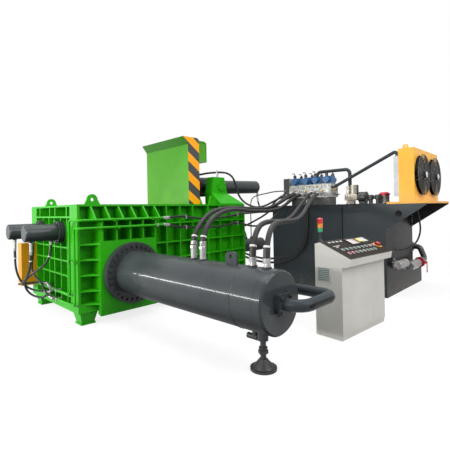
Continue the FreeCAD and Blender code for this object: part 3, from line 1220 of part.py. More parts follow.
def fan_guards():
    """A guard in front of each fan: four rings and flat arms, with the fan's motor in the middle."""
    guards = []
    arm_end = GUARD_RADIUS - GUARD_WIRE / 2
    for x in FAN_X:
        solids = [disc(MOTOR_RADIUS, vec(x, MOTOR_FRONT, FAN_Z), Y, COOLER_FRONT - 3 - MOTOR_FRONT),
                  disc(FAN_SHAFT, vec(x, COOLER_FRONT - 4, FAN_Z), Y, 34),
                  disc(MOTOR_RADIUS + 26, vec(x, GUARD_Y, FAN_Z), Y, GUARD_WIRE)]
        for step in range(4):
            outer = GUARD_RADIUS - 68 * step
            solids.append(ring(outer, outer - GUARD_WIRE, vec(x, GUARD_Y, FAN_Z), Y, GUARD_WIRE))
        for step in range(GUARD_ARMS):
            turn = 360 * step / GUARD_ARMS + 18
            arm = block((x + MOTOR_RADIUS, x + arm_end), (GUARD_Y, GUARD_Y + GUARD_WIRE),
                        (FAN_Z - GUARD_WIRE, FAN_Z + GUARD_WIRE))
            stand = block((x + arm_end - 2 * GUARD_WIRE, x + arm_end), (GUARD_Y, COOLER_FRONT),
                          (FAN_Z - GUARD_WIRE, FAN_Z + GUARD_WIRE))
            for piece in (arm, stand):
                piece.rotate(vec(x, 0, FAN_Z), Y, turn)
                solids.append(piece)
        guards.append(join(solids))
    return guards


def fan(x):
    """A fan: hub with pitched blades, bored for the motor's shaft."""
    hub = disc(FAN_HUB, vec(x, FAN_FRONT, FAN_Z), Y, FAN_DEPTH)
    solids = [hub]
    middle = FAN_FRONT + FAN_DEPTH / 2
    for step in range(FAN_BLADES):
        wires = []
        for radius, pitch, chord in ((FAN_HUB - 8, 38, 90), (FAN_RADIUS, 16, 150)):
            lean = math.radians(pitch)
            across = vec(0, math.sin(lean), math.cos(lean)) * (chord / 2)
            thick = vec(0, math.cos(lean), -math.sin(lean)) * 2.5
            at = vec(x + radius, middle, FAN_Z)
            corners = [at - across - thick, at + across - thick, at + across + thick, at - across + thick]
            wires.append(Part.makePolygon(corners + corners[:1]))
        blade = Part.makeLoft(wires, True, True)
        blade.rotate(vec(x, middle, FAN_Z), Y, 360 * step / FAN_BLADES)
        solids.append(blade)
    reach = disc(FAN_RADIUS, vec(x, FAN_FRONT, FAN_Z), Y, FAN_DEPTH)
    body = join(solids).common(reach)
    return body.cut(disc(FAN_SHAFT + BEARING_GAP, vec(x, FAN_FRONT - 1, FAN_Z), Y, FAN_DEPTH + 2))


def valve_manifold():
    """Drilled valve block on its pedestal, with an end block of its own at the rear."""
    main = block(BLOCK_X, BLOCK_Y, BLOCK_Z)
    main = main.makeChamfer(8, [e for e in main.Edges if e.BoundBox.YLength > 100])
    base = block((BLOCK_X[0] + BLOCK_BASE, BLOCK_X[1] - BLOCK_BASE),
                 (BLOCK_Y[0] + BLOCK_BASE, BLOCK_Y[1] - BLOCK_BASE), (TANK_TOP, BLOCK_Z[0]))
    end = block((BLOCK_X[0], BLOCK_X[0] + 190), (BLOCK_Y[1], END_BLOCK_FRONT), END_BLOCK_Z)
    boss = disc(PORT_RADIUS, vec(LID_END_PORT[0], END_BLOCK_FRONT, LID_END_PORT[2]), Y,
                LID_END_PORT[1] - END_BLOCK_FRONT)
    return [join([main, base]), join([end, boss])]


def solenoid_valves():
    """Four directional valves on the block, each with a coil at both ends and a plug on each coil."""
    valves = []
    for y in VALVE_Y:
        half = VALVE_WIDTH / 2
        body = block(VALVE_X, (y - half, y + half), (BLOCK_Z[1], BLOCK_Z[1] + VALVE_HEIGHT))
        coils = []
        middle = BLOCK_Z[1] + VALVE_HEIGHT / 2
        for x in (VALVE_X[0] - COIL_LENGTH, VALVE_X[1]):
            coils.append(disc(COIL_RADIUS, vec(x, y, middle), X, COIL_LENGTH))
            plug = x + (COIL_LENGTH - PLUG_LENGTH) / 2
            coils.append(block((plug, plug + PLUG_LENGTH), (y - PLUG_WIDTH / 2, y + PLUG_WIDTH / 2),
                               (middle, middle + COIL_RADIUS + PLUG_HEIGHT)))
        valves.append(join([body] + coils))
    return valves


def tank_top_fittings():
    """Parts standing on the tank's cover: filler column, relief cartridge, check valve block, level
    motor, two breather caps and the return filter."""
    z = TANK_TOP
    x = FITTINGS_X
    half = COLUMN_WIDTH / 2
    head = (z + COLUMN_NECK, z + COLUMN_NECK + COLUMN_HEAD)
    column = join([block((x - half, x + half), COLUMN_Y, head),
                   block((x - half / 2, x + half / 2), (COLUMN_Y[0] + half, COLUMN_Y[1] - half), (z, head[0])),
                   disc(CARTRIDGE_RADIUS, vec(x, CARTRIDGE_Y, head[1]), Z, CARTRIDGE_HEIGHT)])
    check = block((ARCH_X - CHECK_BLOCK / 2, ARCH_X + CHECK_BLOCK / 2),
                  (ARCH_Y[0] - 0.6 * CHECK_BLOCK, ARCH_Y[0] + 0.6 * CHECK_BLOCK), (z, CHECK_BLOCK_TOP))
    motor_z = z + LEVEL_RADIUS + LEVEL_FOOT / 2
    motor = join([disc(LEVEL_RADIUS, vec(x, LEVEL_Y, motor_z), Y, LEVEL_LENGTH),
                  block((x - 60, x + 60), (LEVEL_Y + 10, LEVEL_Y + LEVEL_LENGTH - 10), (z, z + LEVEL_FOOT))])
    caps = [turned(((0, 0), (36, 0), (36, 70), (60, 82), (60, 140), (44, 160), (0, 160)),
                   vec(x, y, z), Z) for y in BREATHER_Y]
    filter_body = turned(((0, 0), (105, 0), (105, 16), (85, 16), (85, 150), (98, 150), (98, 176), (60, 206),
                          (0, 206)), vec(FILTER[0], FILTER[1], z), Z)
    return [column, check, motor, filter_body] + caps


def suction_line():
    """Suction line in front of the tank, its valve bodies, and the two pump sets on the skid."""
    near = TANK_Y
    axis_y = SUCTION_Y
    flange = 20.0
    parts = []
    for stub_x, stub_z, span in ((SUCTION_STUB_X, SUCTION_Z, SUCTION_BODY_X),
                                 ((DRAIN_X[0] + DRAIN_X[1]) / 2, DRAIN_Z, DRAIN_X)):
        stub = disc(SUCTION_RADIUS, vec(stub_x, axis_y, stub_z), Y, near - axis_y)
        collar = disc(SUCTION_RADIUS + 40, vec(stub_x, near - flange, stub_z), Y, flange)
        body = disc(SUCTION_BODY, vec(span[0], axis_y, stub_z), X, span[1] - span[0])
        body = body.makeChamfer(18, body.Edges)
        parts.append(join([stub, collar, body]))
    valve = join([disc(SUCTION_BODY + 22, vec(LEVER_X - 30, axis_y, SUCTION_Z), X, 60),
                  disc(LEVER_STEM, vec(LEVER_X, axis_y - SUCTION_BODY - 60, SUCTION_Z), Y, 60)])
    link = disc(SUCTION_RADIUS, vec(SUCTION_BODY_X[1], axis_y, SUCTION_Z), X,
                LEVER_X - 30 - SUCTION_BODY_X[1])
    bend = bent_bar(((LEVER_X + 30, axis_y, SUCTION_Z), (PUMP_X, axis_y, SUCTION_Z + 30),
                     (PUMP_X, axis_y + 90, PUMP_Z), (PUMP_X, PUMP_Y[0] - PUMP_LENGTH / 2, PUMP_Z)),
                    SUCTION_RADIUS, 90)
    return parts + [valve, link, bend]


def pump_sets():
    """Two pumps, each flanged to its motor on a bench."""
    sets = []
    for y in PUMP_Y:
        front = y - PUMP_LENGTH / 2
        back = y + PUMP_LENGTH / 2
        low = TANK_SKID
        shell = turned(((0, 0), (PUMP_RADIUS, 0), (PUMP_RADIUS, PUMP_LENGTH), (PUMP_MOTOR_RADIUS, PUMP_LENGTH),
                        (PUMP_MOTOR_RADIUS, PUMP_LENGTH + 30), (PUMP_MOTOR_RADIUS - 20, PUMP_LENGTH + 30),
                        (PUMP_MOTOR_RADIUS - 20, PUMP_LENGTH + PUMP_MOTOR_LENGTH), (0, PUMP_LENGTH + PUMP_MOTOR_LENGTH)),
                       vec(PUMP_X, front, PUMP_Z), Y)
        bench = block((PUMP_X - 150, PUMP_X + 150), (back + 60, back + PUMP_MOTOR_LENGTH - 60),
                      (low, PUMP_Z - PUMP_MOTOR_RADIUS + 60))
        box = block((PUMP_X - 60, PUMP_X + 60), (back + 180, back + 360), (PUMP_Z, PUMP_Z + PUMP_MOTOR_RADIUS + 40))
        sets.append(join([shell, bench, box]))
    return sets


def suction_handle():
    """Red lever on the suction valve's stem."""
    at = vec(LEVER_X, SUCTION_Y - SUCTION_BODY - 60, SUCTION_Z)
    hub = disc(LEVER_HUB, at, Y, 30)
    arm = block((LEVER_X - 14, LEVER_X + 14), (at.y, at.y + 12), (SUCTION_Z - LEVER_LENGTH, SUCTION_Z))
    grip = disc(LEVER_HUB, vec(LEVER_X, at.y, SUCTION_Z - LEVER_LENGTH), Y, 12)
    return join([hub, arm, grip]).cut(disc(LEVER_STEM + BEARING_GAP, at - Y, Y, 32))


# ---- control desk

def at_desk(u, v, z):
    """A point of the desk: u along its width, v into its depth, z above the ground."""
    turn = math.radians(DESK_TURN)
    return vec(DESK_CORNER[0] + u * math.cos(turn) - v * math.sin(turn),
               DESK_CORNER[1] + u * math.sin(turn) + v * math.cos(turn), z)


def panel_slope():
    """The slope of the desk's panel, in radians."""
    lip = DESK_PROFILE[3]
    crest = DESK_PROFILE[4]
    return math.atan2(crest[1] - lip[1], crest[0] - lip[0])


def on_panel(u, w, lift):
    """A point over the desk's panel: u along its width, w up its slope, lift square to it."""
    lip = DESK_PROFILE[3]
    slope = panel_slope()
    return at_desk(u, lip[0] + w * math.cos(slope) - lift * math.sin(slope),
                   lip[1] + w * math.sin(slope) + lift * math.cos(slope))


def panel_normal():
    normal = on_panel(0, 0, 1) - on_panel(0, 0, 0)
    return normal.normalize()


def panel_slab(u, w, low, high):
    """A plate lying on the panel, between two heights over it."""
    corners = [on_panel(u[0], w[0], low), on_panel(u[1], w[0], low), on_panel(u[1], w[1], low),
               on_panel(u[0], w[1], low)]
    return Part.Face(Part.makePolygon(corners + corners[:1])).extrude(panel_normal() * (high - low))


def console_cabinet():
    """Desk cabinet: one bent outline along its width, standing on a recessed plinth."""
    corners = [at_desk(0, v, z) for v, z in DESK_PROFILE]
    body = Part.Face(Part.makePolygon(corners + corners[:1]))
    body = body.extrude(at_desk(DESK_WIDTH, 0, 0) - at_desk(0, 0, 0))
    toe = [at_desk(-1, -1, -1), at_desk(DESK_WIDTH + 1, -1, -1), at_desk(DESK_WIDTH + 1, 12, -1),
           at_desk(-1, 12, -1)]
    return body.cut(Part.Face(Part.makePolygon(toe + toe[:1])).extrude(Z * 60))


def control_panel():
    """Dark panel plate with the screen's raised frame."""
    plate = panel_slab(PANEL_U, PANEL_W, 0, PANEL_PLATE)
    top = PANEL_PLATE + SCREEN_FRAME
    frame = panel_slab(SCREEN_U, SCREEN_W, PANEL_PLATE, top)
    glass = panel_slab((SCREEN_U[0] + SCREEN_BORDER, SCREEN_U[1] - SCREEN_BORDER),
                       (SCREEN_W[0] + SCREEN_BORDER, SCREEN_W[1] - SCREEN_BORDER), top - 5, top + 1)
    return join([plate, frame]).cut(glass)


def push_buttons():
    """Two rows of push buttons and selector switches."""
    buttons = []
    for count, first, last, w in zip(BUTTON_COUNTS, BUTTON_FIRST, BUTTON_LAST, BUTTON_W):
        for step in range(count):
            u = first + (last - first) * step / (count - 1)
            buttons.append(disc(BUTTON_RADIUS, on_panel(u, w, PANEL_PLATE), panel_normal(), BUTTON_HEIGHT))
    return buttons


def stop_collar():
    """Fixed collar of the emergency stop, bored for its stem."""
    base = on_panel(STOP_U, STOP_W, PANEL_PLATE)
    collar = disc(STOP_COLLAR, base, panel_normal(), 12)
    return collar.cut(disc(STOP_STEM + ROUND_GAP, base - panel_normal(), panel_normal(), 14))


def emergency_button():
    """Mushroom head of the emergency stop on its short stem."""
    base = on_panel(STOP_U, STOP_W, PANEL_PLATE)
    return turned(((0, 7), (STOP_STEM, 7), (STOP_STEM, 12 + STOP_TRAVEL + 1), (STOP_RADIUS, 12 + STOP_TRAVEL + 1),
                   (STOP_RADIUS, 34), (STOP_RADIUS - 9, 42), (0, 44)), base, panel_normal())


def tower_light():
    """Signal light on a pole: three stacked lenses, each a little wider than the one below."""
    foot = at_desk(LIGHT_U, LIGHT_V, DESK_PROFILE[4][1] - 9)
    profile = [(0, 0), (32, 0), (32, 14), (LIGHT_POLE, 14), (LIGHT_POLE, LIGHT_STACK[0] - foot.z)]
    for step in range(3):
        radius = 29.0 + 3 * step
        profile.append((radius, LIGHT_STACK[step] - foot.z))
        profile.append((radius, LIGHT_STACK[step + 1] - foot.z - (4 if step < 2 else 10)))
    profile += [(22, LIGHT_STACK[3] - foot.z), (0, LIGHT_STACK[3] - foot.z)]
    light = turned(profile, foot, Z)
    desk = console_cabinet()
    return light.cut(desk)


# ---- pipes and hoses

def steel_pipes():
    """Welded pipes: the bypass at the main cylinder's end, the arch over the valves, the cooler line."""
    flange_y = -MAIN_LENGTH - CAP_BOSS_DEPTH - CAP_FLANGE_DEPTH
    bypass = bent_bar(((PRESS_X, flange_y, PRESS_Z), (PRESS_X, BYPASS_Y, PRESS_Z), (BYPASS_X, BYPASS_Y, PRESS_Z),
                       (BYPASS_X, BRANCH_Y, PRESS_Z), (BRANCH_X, BRANCH_Y, PRESS_Z)),
                      BYPASS_RADIUS, BYPASS_BEND)
    arch = bent_bar(((ARCH_X, ARCH_Y[1], BLOCK_Z[1]), (ARCH_X, ARCH_Y[1], ARCH_TOP),
                     (ARCH_X, ARCH_Y[0], ARCH_TOP), (ARCH_X, ARCH_Y[0], CHECK_BLOCK_TOP)), ARCH_RADIUS, 90)
    cooler = bent_bar(((CORE_PORT_X, BLOCK_Y[0], COOLER_LINE_Z), (CORE_PORT_X, BLOCK_Y[0] - 64, COOLER_LINE_Z),
                       (CORE_PORT_X, CORE_PORT_Y, COOLER_LINE_TOP), (CORE_PORT_X, CORE_PORT_Y, CORE_HIGH + 25)),
                      COOLER_LINE_RADIUS, COOLER_LINE_BEND)
    return [bypass, arch, cooler]


UPPER_LINE = ((1305.0, -50.0, 1500.0), (-60.0, -50.0, 1500.0), (-60.0, 290.0, 1500.0),
              (-60.0, 290.0, 450.0), (-60.0, 1030.0, 436.0))
LOWER_LINE = ((1305.0, -50.0, 1390.0), (-60.0, -50.0, 1390.0), (-60.0, 120.0, 1390.0),
              (-60.0, 120.0, 320.0), (-60.0, 1060.0, 304.0))


def oil_pipes():
    """Two thin steel lines round the front left corner, from the wall hoses to the lock hoses."""
    return [bent_bar(line, LINE_RADIUS, LINE_BEND) for line in (UPPER_LINE, LOWER_LINE)]


def clamp(centre, width, tall, thick, along, hole, drop=0):
    """A clamp block round a hose or pipe: width and tall across it, thick along it. drop lengthens the
    block downwards to what carries it."""
    side = vec(along.y, -along.x, 0).normalize() if abs(along.z) < 0.5 else Y
    up = Z if abs(along.z) < 0.5 else X
    start = centre - along * (thick / 2) - side * (width / 2) - up * (tall / 2 + drop)
    corners = [start, start + side * width, start + side * width + up * (tall + drop),
               start + up * (tall + drop)]
    body = Part.Face(Part.makePolygon(corners + corners[:1])).extrude(along * thick)
    return body.cut(disc(hole, centre - along * thick, along, 2 * thick))


# hand-placed routes of the hoses, each from its fitting on the machine to its fitting on the valve block
ROD_HOSE_A = ((753, -1465, 1148), (756, -1464, 1232), (790, -1452, 1312), (852, -1430, 1382),
              (940, -1398, 1452), (1105, -1338, 1542), (1325, -1258, 1602), (1630, -1148, 1630),
              (2071, -988, 1640), (2685, -765, 1620), (3200, -680, 1608), (3650, -660, 1715), (4010, -680, 1870), (4300, -700, 1935))
ROD_HOSE_B = ((753, -1630, 1148), (756, -1629, 1235), (784, -1620, 1318), (836, -1604, 1392),
              (915, -1579, 1458), (1050, -1537, 1526), (1245, -1475, 1580), (1520, -1387, 1612),
              (1860, -1280, 1598), (2400, -1109, 1570),
              (3150, -960, 1580), (3620, -860, 1700), (4000, -815, 1865), (4300, -810, 1900))
PISTON_HOSE_A = ((753, -2397, 1030), (753, -2397, 1167), (803, -2381, 1294), (895, -2351, 1391),
                 (1015, -2311, 1443), (1270, -2228, 1462), (1620, -2100, 1448), (2020, -1930, 1433),
                 (2500, -1722, 1480), (3000, -1515, 1610), (3500, -1320, 1745), (3940, -1140, 1868),
                 (4300, -1030, 1935))
PISTON_HOSE_B = ((753, -2578, 1030), (753, -2578, 1167), (802, -2560, 1294), (893, -2527, 1391),
                 (1012, -2484, 1443), (1265, -2400, 1464), (1620, -2270, 1452), (2020, -2112, 1450),
                 (2500, -1912, 1515), (3000, -1685, 1640), (3500, -1470, 1758), (3940, -1265, 1855),
                 (4300, -1160, 1900))
LID_HEAD_HOSE = ((2961, 1054, 2378), (2961, 930, 2378), (3010, 795, 2398), (3100, 668, 2410),
                 (3215, 490, 2410), (3300, 393, 2384), (3388, 337, 2302), (3450, 330, 2178),
                 (3510, 345, 2045), (3575, 345, 1910), (3650, 290, 1785), (3740, 190, 1695),
                 (3850, 70, 1645), (3980, -60, 1680), (4100, -190, 1775), (4205, -330, 1860), (4300, -470, 1900))
LID_END_HOSE = ((5181.8, 1145, 2086), (5187, 1145, 1947), (5150, 1095, 1805), (5060, 980, 1680),
                (4930, 790, 1612), (4790, 560, 1600), (4650, 330, 1640), (4535, 130, 1740),
                (4470, -60, 1860), (4450, -235, 1930))
LID_END_PORT = LID_END_HOSE[-1]
WALL_HOSE_UPPER = ((1350, -50, 1500), (1510, -33, 1506), (1690, 50, 1512), (1888, 105, 1504),
                   (2140, 112, 1470), (2380, 108, 1450), (2650, 110, 1448), (2950, 114, 1475),
                   (3237, 108, 1508), (3430, 85, 1528), (3620, 30, 1536), (3790, -65, 1550),
                   (3930, -180, 1612), (4050, -310, 1720), (4160, -440, 1850), (4300, -545, 1965))
WALL_HOSE_LOWER = ((1350, -50, 1390), (1500, -32, 1366), (1690, 55, 1330), (1888, 105, 1318),
                   (2120, 112, 1300), (2360, 110, 1290), (2630, 112, 1286), (2900, 112, 1300),
                   (3090, 110, 1328), (3237, 108, 1336), (3440, 90, 1305), (3610, 35, 1255),
                   (3780, -60, 1260), (3920, -180, 1340), (4050, -310, 1490), (4150, -420, 1660),
                   (4215, -510, 1800), (4300, -600, 1870))
SIDE_HOSE_PATH = ((4285, -905, 1800), (4284, -900, 1500), (4282, -890, 1180), (4280, -850, 920),
                  (4270, -740, 720), (4250, -560, 570), (4215, -340, 475), (4160, -90, 430),
                  (4080, 160, 436), (3985, 380, 485), (3880, 590, 580), (3800, 775, 665), (3765, 940, 698))
LOCK_HOSE_FRONT = ((-422, 735, 1060), (-424, 750, 900), (-430, 830, 745), (-436, 980, 625),
                   (-440, 1160, 550), (-440, 1342, 515), (-367, 1442, 500), (-250, 1480, 490),
                   (-133, 1442, 488), (-60, 1342, 489), (-60, 1200, 490))
LOCK_HOSE_REAR = ((-422, 1555, 1060), (-421, 1561, 890), (-412, 1558, 725), (-375, 1540, 575),
                  (-305, 1500, 455), (-205, 1440, 375), (-110, 1340, 352), (-60, 1200, 359))


def hose_fittings():
    """Ferrules, port fittings and clamps that hold the hoses and the thin lines."""
    solids = []
    for y in MAIN_PORTS[:2]:
        solids.append(disc(FERRULE, vec(PRESS_X, y, MAIN_PORT_TOP), Z, ROD_HOSE_A[0][2] - MAIN_PORT_TOP))
    for y in MAIN_PORTS[2:]:
        solids.append(ring(FERRULE, PISTON_HOSE + LINE_GAP, vec(PRESS_X, y, MAIN_PORT_TOP), Z, 84))
    for route, radius in ((LID_HEAD_HOSE, LID_HOSE), (WALL_HOSE_UPPER, WALL_HOSE),
                          (WALL_HOSE_LOWER, WALL_HOSE), (ROD_HOSE_A, ROD_HOSE), (ROD_HOSE_B, ROD_HOSE),
                          (PISTON_HOSE_A, PISTON_HOSE), (PISTON_HOSE_B, PISTON_HOSE)):
        end = vec(*route[-1])
        solids.append(disc(radius + 7, end, X, BLOCK_X[0] - end.x))
    elbow = vec(*SIDE_HOSE_PATH[0])
    level = elbow.z + ELBOW_RISE
    solids.append(bent_bar((SIDE_HOSE_PATH[0], (elbow.x, elbow.y, level), (BLOCK_X[0], elbow.y, level)),
                           SIDE_HOSE + 5, ELBOW_BEND))
    reach = WALL_FRONT
    for x, rib_x, points in ((1888, WALL_UPRIGHTS[2], ((105, 1504), (105, 1318))),
                             (3237, WALL_UPRIGHTS[6], ((108, 1508), (108, 1336)))):
        for y, z in points:
            holder = clamp(vec(x, y, z), 70, 70, 24, X, WALL_HOSE + CLAMP_GAP)
            arm = block((min(rib_x - RIB, x - 12), max(rib_x, x + 12)), (reach - 14, reach), (z - 14, z + 14))
            solids.append(join([holder, arm]))
    before = vec(*LID_HEAD_HOSE[3])
    after = vec(*LID_HEAD_HOSE[4])
    middle = (before + after) * 0.5
    solids.append(clamp(middle, 96, 80, 30, (after - before).normalize(), LID_HOSE + CLAMP_GAP,
                        middle.z - 40 - BRACKET_TOP_Z))
    for line, route in ((UPPER_LINE, WALL_HOSE_UPPER), (LOWER_LINE, WALL_HOSE_LOWER)):
        solids.append(rod_between(26, vec(*line[0]), vec(*route[0])))
    for y in LOCK_Y:
        top = LOCK_Z - LOCK_TUBE_RADIUS - LOCK_PORT
        solids.append(disc(22, vec(LOCK_PORT_X[0], y, 1060), Z, top - 1060))
    for line, route in ((UPPER_LINE, LOCK_HOSE_FRONT), (LOWER_LINE, LOCK_HOSE_REAR)):
        solids.append(rod_between(24, vec(*line[-1]), vec(*route[-1])))
    hole = LINE_RADIUS + LINE_GAP
    size = 2 * LINE_CLAMP
    for x in (450, 1100):
        solids.append(block((x - 12, x + 12), (-50 - LINE_CLAMP, 0), (1475, 1525))
                      .cut(disc(hole, vec(x - 13, -50, 1500), X, 26)))
    for step in (1, 4):
        x = HEAD_LEFT + RIB + HEAD_RIB_PITCH * step
        solids.append(block((x, x + RIB), (-50 - LINE_CLAMP, 0), (1365, 1415))
                      .cut(disc(hole, vec(x - 1, -50, 1390), X, RIB + 2)))
    for y, low, high in ((290, 265, 315), (120, 95, 175)):
        solids.append(block((-60 - LINE_CLAMP, 0), (low, high), (900, 940))
                      .cut(disc(hole, vec(-60, y, 899), Z, 42)))
    for line in (UPPER_LINE, LOWER_LINE):
        before = vec(*line[3])
        after = vec(*line[4])
        slope = (after.z - before.z) / (after.y - before.y)
        z = before.z + slope * (LEFT_UPRIGHTS[1] - before.y)
        holder = block((-60 - LINE_CLAMP, 0), (LEFT_UPRIGHTS[1] - 12, LEFT_UPRIGHTS[1] + 12),
                       (z - LINE_CLAMP, z + LINE_CLAMP))
        solids.append(holder.cut(disc(hole + 0.5, vec(-60, LEFT_UPRIGHTS[1] - 13, z), Y, 26)))
    return solids


os.makedirs("parts", exist_ok=True)
save("base_frame", base_frame())
save("left_wall", left_wall())
save("front_wall", front_wall())
save("rear_wall", rear_wall())
save("right_end", right_end())
save("press_head", press_head())
save("exit_frame", exit_frame())
save("bridge_beam", bridge_beam())
save("trunnion_brackets", [trunnion_bracket(), mirrored(trunnion_bracket())])
save("trunnion_caps", trunnion_caps())
save("lid", lid())
save("hinge_shaft", hinge_shaft())
save("lid_cylinder", lid_cylinder())
save("lid_rod", lid_rod())
save("main_ram", main_ram())
save("main_rod", main_rod())
save("side_ram", side_ram())
save("side_rod", side_rod())
save("gate", gate())
save("gate_rod", gate_rod())
save("gate_cylinder", gate_cylinder())
save("lock_cylinders", lock_cylinders())
save("lock_pin_front", lock_pin(LOCK_Y[0]))
save("lock_pin_rear", lock_pin(LOCK_Y[1]))
save("main_cylinder", main_cylinder())
save("flange_bolts", flange_bolts())
save("jack_foot", jack_foot())
save("side_cylinder", side_cylinder())
save("oil_tank", oil_tank())
save("shelf_brackets", shelf_brackets())
save("cooler_shelf", cooler_shelf())
save("cooler_housing", cooler_housing())
save("cooler_core", cooler_core())
save("fan_guards", fan_guards())
save("fan_left", fan(FAN_X[0]))
save("fan_right", fan(FAN_X[1]))
save("valve_manifold", valve_manifold())
save("solenoid_valves", solenoid_valves())
save("tank_top_fittings", tank_top_fittings())
save("pump_set", suction_line() + pump_sets())
save("suction_handle", suction_handle())
save("console_cabinet", console_cabinet())
save("control_panel", [control_panel(), stop_collar()])
save("push_buttons", push_buttons())
save("emergency_button", emergency_button())
save("tower_light", tower_light())
save("steel_pipes", steel_pipes())
save("oil_pipes", oil_pipes())
save("hose_fittings", hose_fittings())
save("rod_hose_a", bent_bar(ROD_HOSE_A, ROD_HOSE, label="rod_hose_a"))
save("rod_hose_b", bent_bar(ROD_HOSE_B, ROD_HOSE, label="rod_hose_b"))
save("piston_hose_a", bent_bar(PISTON_HOSE_A, PISTON_HOSE, label="piston_hose_a"))
save("piston_hose_b", bent_bar(PISTON_HOSE_B, PISTON_HOSE, label="piston_hose_b"))
save("lid_head_hose", bent_bar(LID_HEAD_HOSE, LID_HOSE, label="lid_head_hose"))
save("lid_end_hose", bent_bar(LID_END_HOSE, LID_HOSE, label="lid_end_hose"))
save("wall_hose_upper", bent_bar(WALL_HOSE_UPPER, WALL_HOSE, label="wall_hose_upper"))
save("wall_hose_lower", bent_bar(WALL_HOSE_LOWER, WALL_HOSE, label="wall_hose_lower"))
save("side_hose", bent_bar(SIDE_HOSE_PATH, SIDE_HOSE, label="side_hose"))
save("lock_hose_front", bent_bar(LOCK_HOSE_FRONT, LOCK_HOSE, label="lock_hose_front"))
save("lock_hose_rear", bent_bar(LOCK_HOSE_REAR, LOCK_HOSE, label="lock_hose_rear"))
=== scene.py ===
import json
import math

import bmesh
import bpy
from mathutils import Matrix, Vector


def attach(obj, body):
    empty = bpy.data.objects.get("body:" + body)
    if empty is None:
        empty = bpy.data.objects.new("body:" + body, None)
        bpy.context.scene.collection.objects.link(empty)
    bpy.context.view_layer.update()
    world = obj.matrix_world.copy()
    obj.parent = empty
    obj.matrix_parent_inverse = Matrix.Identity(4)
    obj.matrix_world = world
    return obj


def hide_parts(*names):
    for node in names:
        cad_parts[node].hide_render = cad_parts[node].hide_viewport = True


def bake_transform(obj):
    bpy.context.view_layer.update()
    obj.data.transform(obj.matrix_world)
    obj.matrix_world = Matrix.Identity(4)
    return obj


# Looks of the scrap baler: camera and light, smooth hoses, painted and bare metal, and the small
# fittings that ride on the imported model. Metres, in the row's frame.

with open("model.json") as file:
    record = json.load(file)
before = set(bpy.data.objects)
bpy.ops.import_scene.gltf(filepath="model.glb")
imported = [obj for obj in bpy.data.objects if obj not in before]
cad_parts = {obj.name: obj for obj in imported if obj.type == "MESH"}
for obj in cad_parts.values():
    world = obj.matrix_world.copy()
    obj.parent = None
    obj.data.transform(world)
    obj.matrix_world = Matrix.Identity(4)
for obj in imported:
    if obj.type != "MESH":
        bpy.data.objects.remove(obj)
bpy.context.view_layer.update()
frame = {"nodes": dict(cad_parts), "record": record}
X = Vector((1, 0, 0))
Y = Vector((0, 1, 0))
Z = Vector((0, 0, 1))


def at(x, y, z):
    """A point given in millimetres from the press box's lower left front corner."""
    return Vector(((x - 163) / 1000, (y - 310) / 1000, z / 1000))


def new_object(name, data):
    made = bpy.data.objects.new(name, data)
    bpy.context.scene.collection.objects.link(made)
    return made


# ---- camera

# The photograph's view: place in metres; yaw, pitch and roll in degrees.
CAMERA_PLACE = (-2.139, -5.017, 1.6)
CAMERA_ANGLES = (45.114, -0.337, 1.116)
CAMERA_LENS = 27.667
CAMERA_SHIFT = (0.00331, -0.03706)


def make_camera():
    yaw, pitch, roll = [math.radians(angle) for angle in CAMERA_ANGLES]
    ahead = Vector((math.sin(yaw) * math.cos(pitch), math.cos(yaw) * math.cos(pitch), -math.sin(pitch)))
    right = Vector((math.cos(yaw), -math.sin(yaw), 0))
    up = right.cross(ahead)
    across = right * math.cos(roll) - up * math.sin(roll)
    upward = right * math.sin(roll) + up * math.cos(roll)
    data = bpy.data.cameras.new("camera")
    data.lens = CAMERA_LENS
    data.shift_x, data.shift_y = CAMERA_SHIFT
    data.clip_end = 200
    camera = new_object("camera", data)
    turn = Matrix((across, upward, -ahead)).transposed()
    camera.matrix_world = Matrix.Translation(CAMERA_PLACE) @ turn.to_4x4()
    bpy.context.scene.camera = camera


make_camera()


# ---- node materials

